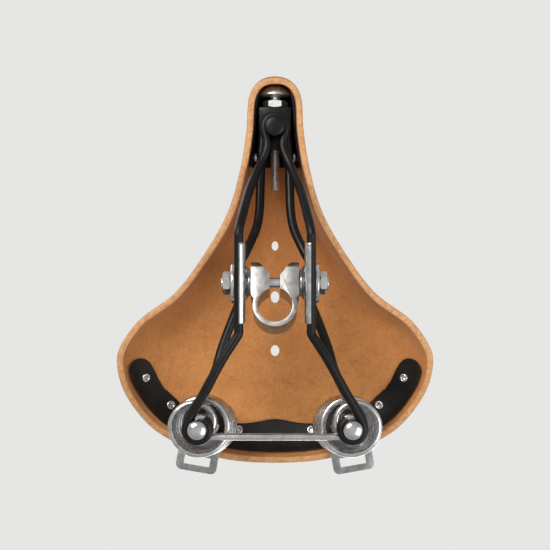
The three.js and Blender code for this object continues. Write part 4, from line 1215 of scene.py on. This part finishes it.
capProfile = [(0, noseBolt["riveted"] + 1.8), (noseBolt["head"] - 1.2, noseBolt["riveted"] + 1.8),
              (noseBolt["head"], noseBolt["riveted"] + 0.6), (noseBolt["head"], noseBolt["riveted"]),
              (noseBolt["shank"], noseBolt["riveted"]), (noseBolt["shank"], noseBolt["capTop"]),
              (noseBolt["cap"] - 0.3, noseBolt["capTop"]), (noseBolt["cap"], noseBolt["capTop"] - 0.4),
              (noseBolt["cap"], noseBolt["capTop"] - 2.2)]
for t in np.linspace(0, math.pi / 2, 12)[1:]:
    capProfile.append((noseBolt["cap"] * math.cos(t) ** 0.6,
                       noseBolt["capTop"] - 2.2 - 1.8 * math.sin(t)))
capProfile[-1] = (0, noseBolt["capTop"] - 4)
place(turned("noseBolt", capProfile, "Z", (0, noseBolt["y"], 0), enamel), "undercarriage",
      "black_enamel", "nose_bolt")

tensionPin = turned("tensionPin", pinProfile(), "Y", (0, 0, pin["height"]), pinSteel)
threadTurns = (pin["tailEnd"] - 0.8 - pin["neckEnd"] - 0.6) / pin["pitch"]
threadTurn = np.linspace(0, threadTurns, int(threadTurns * 28))
threadPath = np.stack([(pin["thread"] - 0.34) * np.cos(threadTurn * 2 * math.pi),
                       pin["neckEnd"] + 0.6 + threadTurn * pin["pitch"],
                       pin["height"] + (pin["thread"] - 0.34) * np.sin(threadTurn * 2 * math.pi)], axis=-1)
thread = wirePiece("pinThread", threadPath, 0.36, pinSteel, 6)
place(tensionPin, "tension_pin", "chrome", "tension_pin")
place(thread, "tension_pin", "chrome")
tensionNut = hexNut("tensionNut", 15, -139.7, -134.8, 3.3, "Y", (0, 0, pin["height"]), pinSteel, math.pi / 2)
place(tensionNut, "tension_nut", "chrome", "tension_nut")
print("nose made")


# Bag loops and the blank plate on the rear of the hide

for side, _ in sides:
    loop = refined("bag_loop_" + side, side + "BagLoop", 0.45, 3, zinc)
    place(loop, "top", "zinc", "bag_loop_" + side)
badge = refined("rear_badge_plate", "rearBadgePlate", 0.25, 2, chrome)
place(badge, "top", "chrome", "rear_badge_plate")
for side, _ in sides:
    seat = bpy.data.objects["spring_seat_" + side]
    seat.data.materials.clear()
    seat.data.materials.append(springSteel)
print("bag loops and badge made")


# Camera, floor and light

view = {"height": -0.841, "back": -0.02176, "lens": 85.8}
camera = bpy.data.objects.new("camera", bpy.data.cameras.new("camera"))
bpy.context.collection.objects.link(camera)
camera.location = (0, view["back"], view["height"])
camera.rotation_euler = (math.pi, 0, 0)
camera.data.lens = view["lens"]
camera.data.sensor_width = 36
camera.data.clip_start = 0.01
bpy.context.scene.camera = camera

floorLook = {"colour": "#D9D8D5", "drop": 1.15, "half": 6}
floorMaterial, floorTree = newMaterial("palePaintedFloor")
floorPlace = addNode(floorTree, "ShaderNodeTexCoord").outputs["Object"]
floorGrain = addNode(floorTree, "ShaderNodeTexNoise", {"Vector": floorPlace, "Scale": perMm(60), "Detail": 3})
floorTone = addNode(floorTree, "ShaderNodeMix", {
    0: floorGrain.outputs["Fac"], 6: toLinear(floorLook["colour"]), 7: toLinear("#D4D3D0")},
    data_type="RGBA")
closeMaterial(floorTree, {"Base Color": floorTone.outputs[2], "Roughness": 0.8})
half = floorLook["half"] * 1000
floorPoints = [(-half, -half, 0), (half, -half, 0), (half, half, 0), (-half, half, 0)]
floorPoints = [(x, y, -floorLook["drop"] * 1000) for x, y, _ in floorPoints]
floor = pieceFrom("paleFloor", floorPoints, [(0, 1, 2, 3)], floorMaterial)

lamps = (
    {"name": "keyLamp", "at": (-0.45, -0.5, -0.75), "size": 0.5, "power": 6.5},
    {"name": "fillLamp", "at": (0.65, 0.25, -0.6), "size": 0.7, "power": 3.6},
    {"name": "topLamp", "at": (0.3, 0.5, 1.0), "size": 0.9, "power": 7.0},
    {"name": "sideLamp", "at": (-0.8, -0.7, 0.7), "size": 0.7, "power": 3.5},
)
for look in lamps:
    data = bpy.data.lights.new(look["name"], "AREA")
    data.shape = "SQUARE"
    data.size = look["size"]
    data.energy = look["power"]
    lamp = bpy.data.objects.new(look["name"], data)
    bpy.context.collection.objects.link(lamp)
    lamp.location = look["at"]
    lamp.rotation_euler = (-Vector(look["at"])).to_track_quat("-Z", "Y").to_euler()
    lamp.visible_camera = False

backdrop = {"seen": "#E6E6E4", "horizon": "#B4B4B3", "light": 0.5}
world = bpy.data.worlds.new("studio")
bpy.context.scene.world = world
world.use_nodes = True
worldTree = world.node_tree
worldTree.nodes.clear()
# pale overhead and below, greyer along the horizon, as a lit studio is
around = addNode(worldTree, "ShaderNodeTexCoord")
compass = addNode(worldTree, "ShaderNodeSeparateXYZ", {"Vector": around.outputs["Generated"]})
tilt = addNode(worldTree, "ShaderNodeMath", {0: compass.outputs["Z"]}, operation="ABSOLUTE")
shade = addNode(worldTree, "ShaderNodeValToRGB", {"Fac": tilt.outputs[0]}, stops=(
    (0.0, toLinear(backdrop["horizon"])), (0.45, toLinear(backdrop["horizon"])),
    (0.85, toLinear(backdrop["seen"]))))
ray = addNode(worldTree, "ShaderNodeLightPath")
direct = addNode(worldTree, "ShaderNodeMath", {
    0: ray.outputs["Is Camera Ray"], 1: ray.outputs["Is Glossy Ray"]}, operation="MAXIMUM")
direct = addNode(worldTree, "ShaderNodeMath", {
    0: direct.outputs[0], 1: ray.outputs["Is Transmission Ray"]}, operation="MAXIMUM")
soft = addNode(worldTree, "ShaderNodeBackground", {"Color": grey(1), "Strength": backdrop["light"]})
seen = addNode(worldTree, "ShaderNodeBackground", {"Color": shade.outputs["Color"], "Strength": 1.0})
both = addNode(worldTree, "ShaderNodeMixShader", {
    0: direct.outputs[0], 1: soft.outputs["Background"], 2: seen.outputs["Background"]})
addNode(worldTree, "ShaderNodeOutputWorld", {"Surface": both.outputs["Shader"]})

bpy.context.scene.view_settings.view_transform = "Standard"
print("camera, floor and light made")
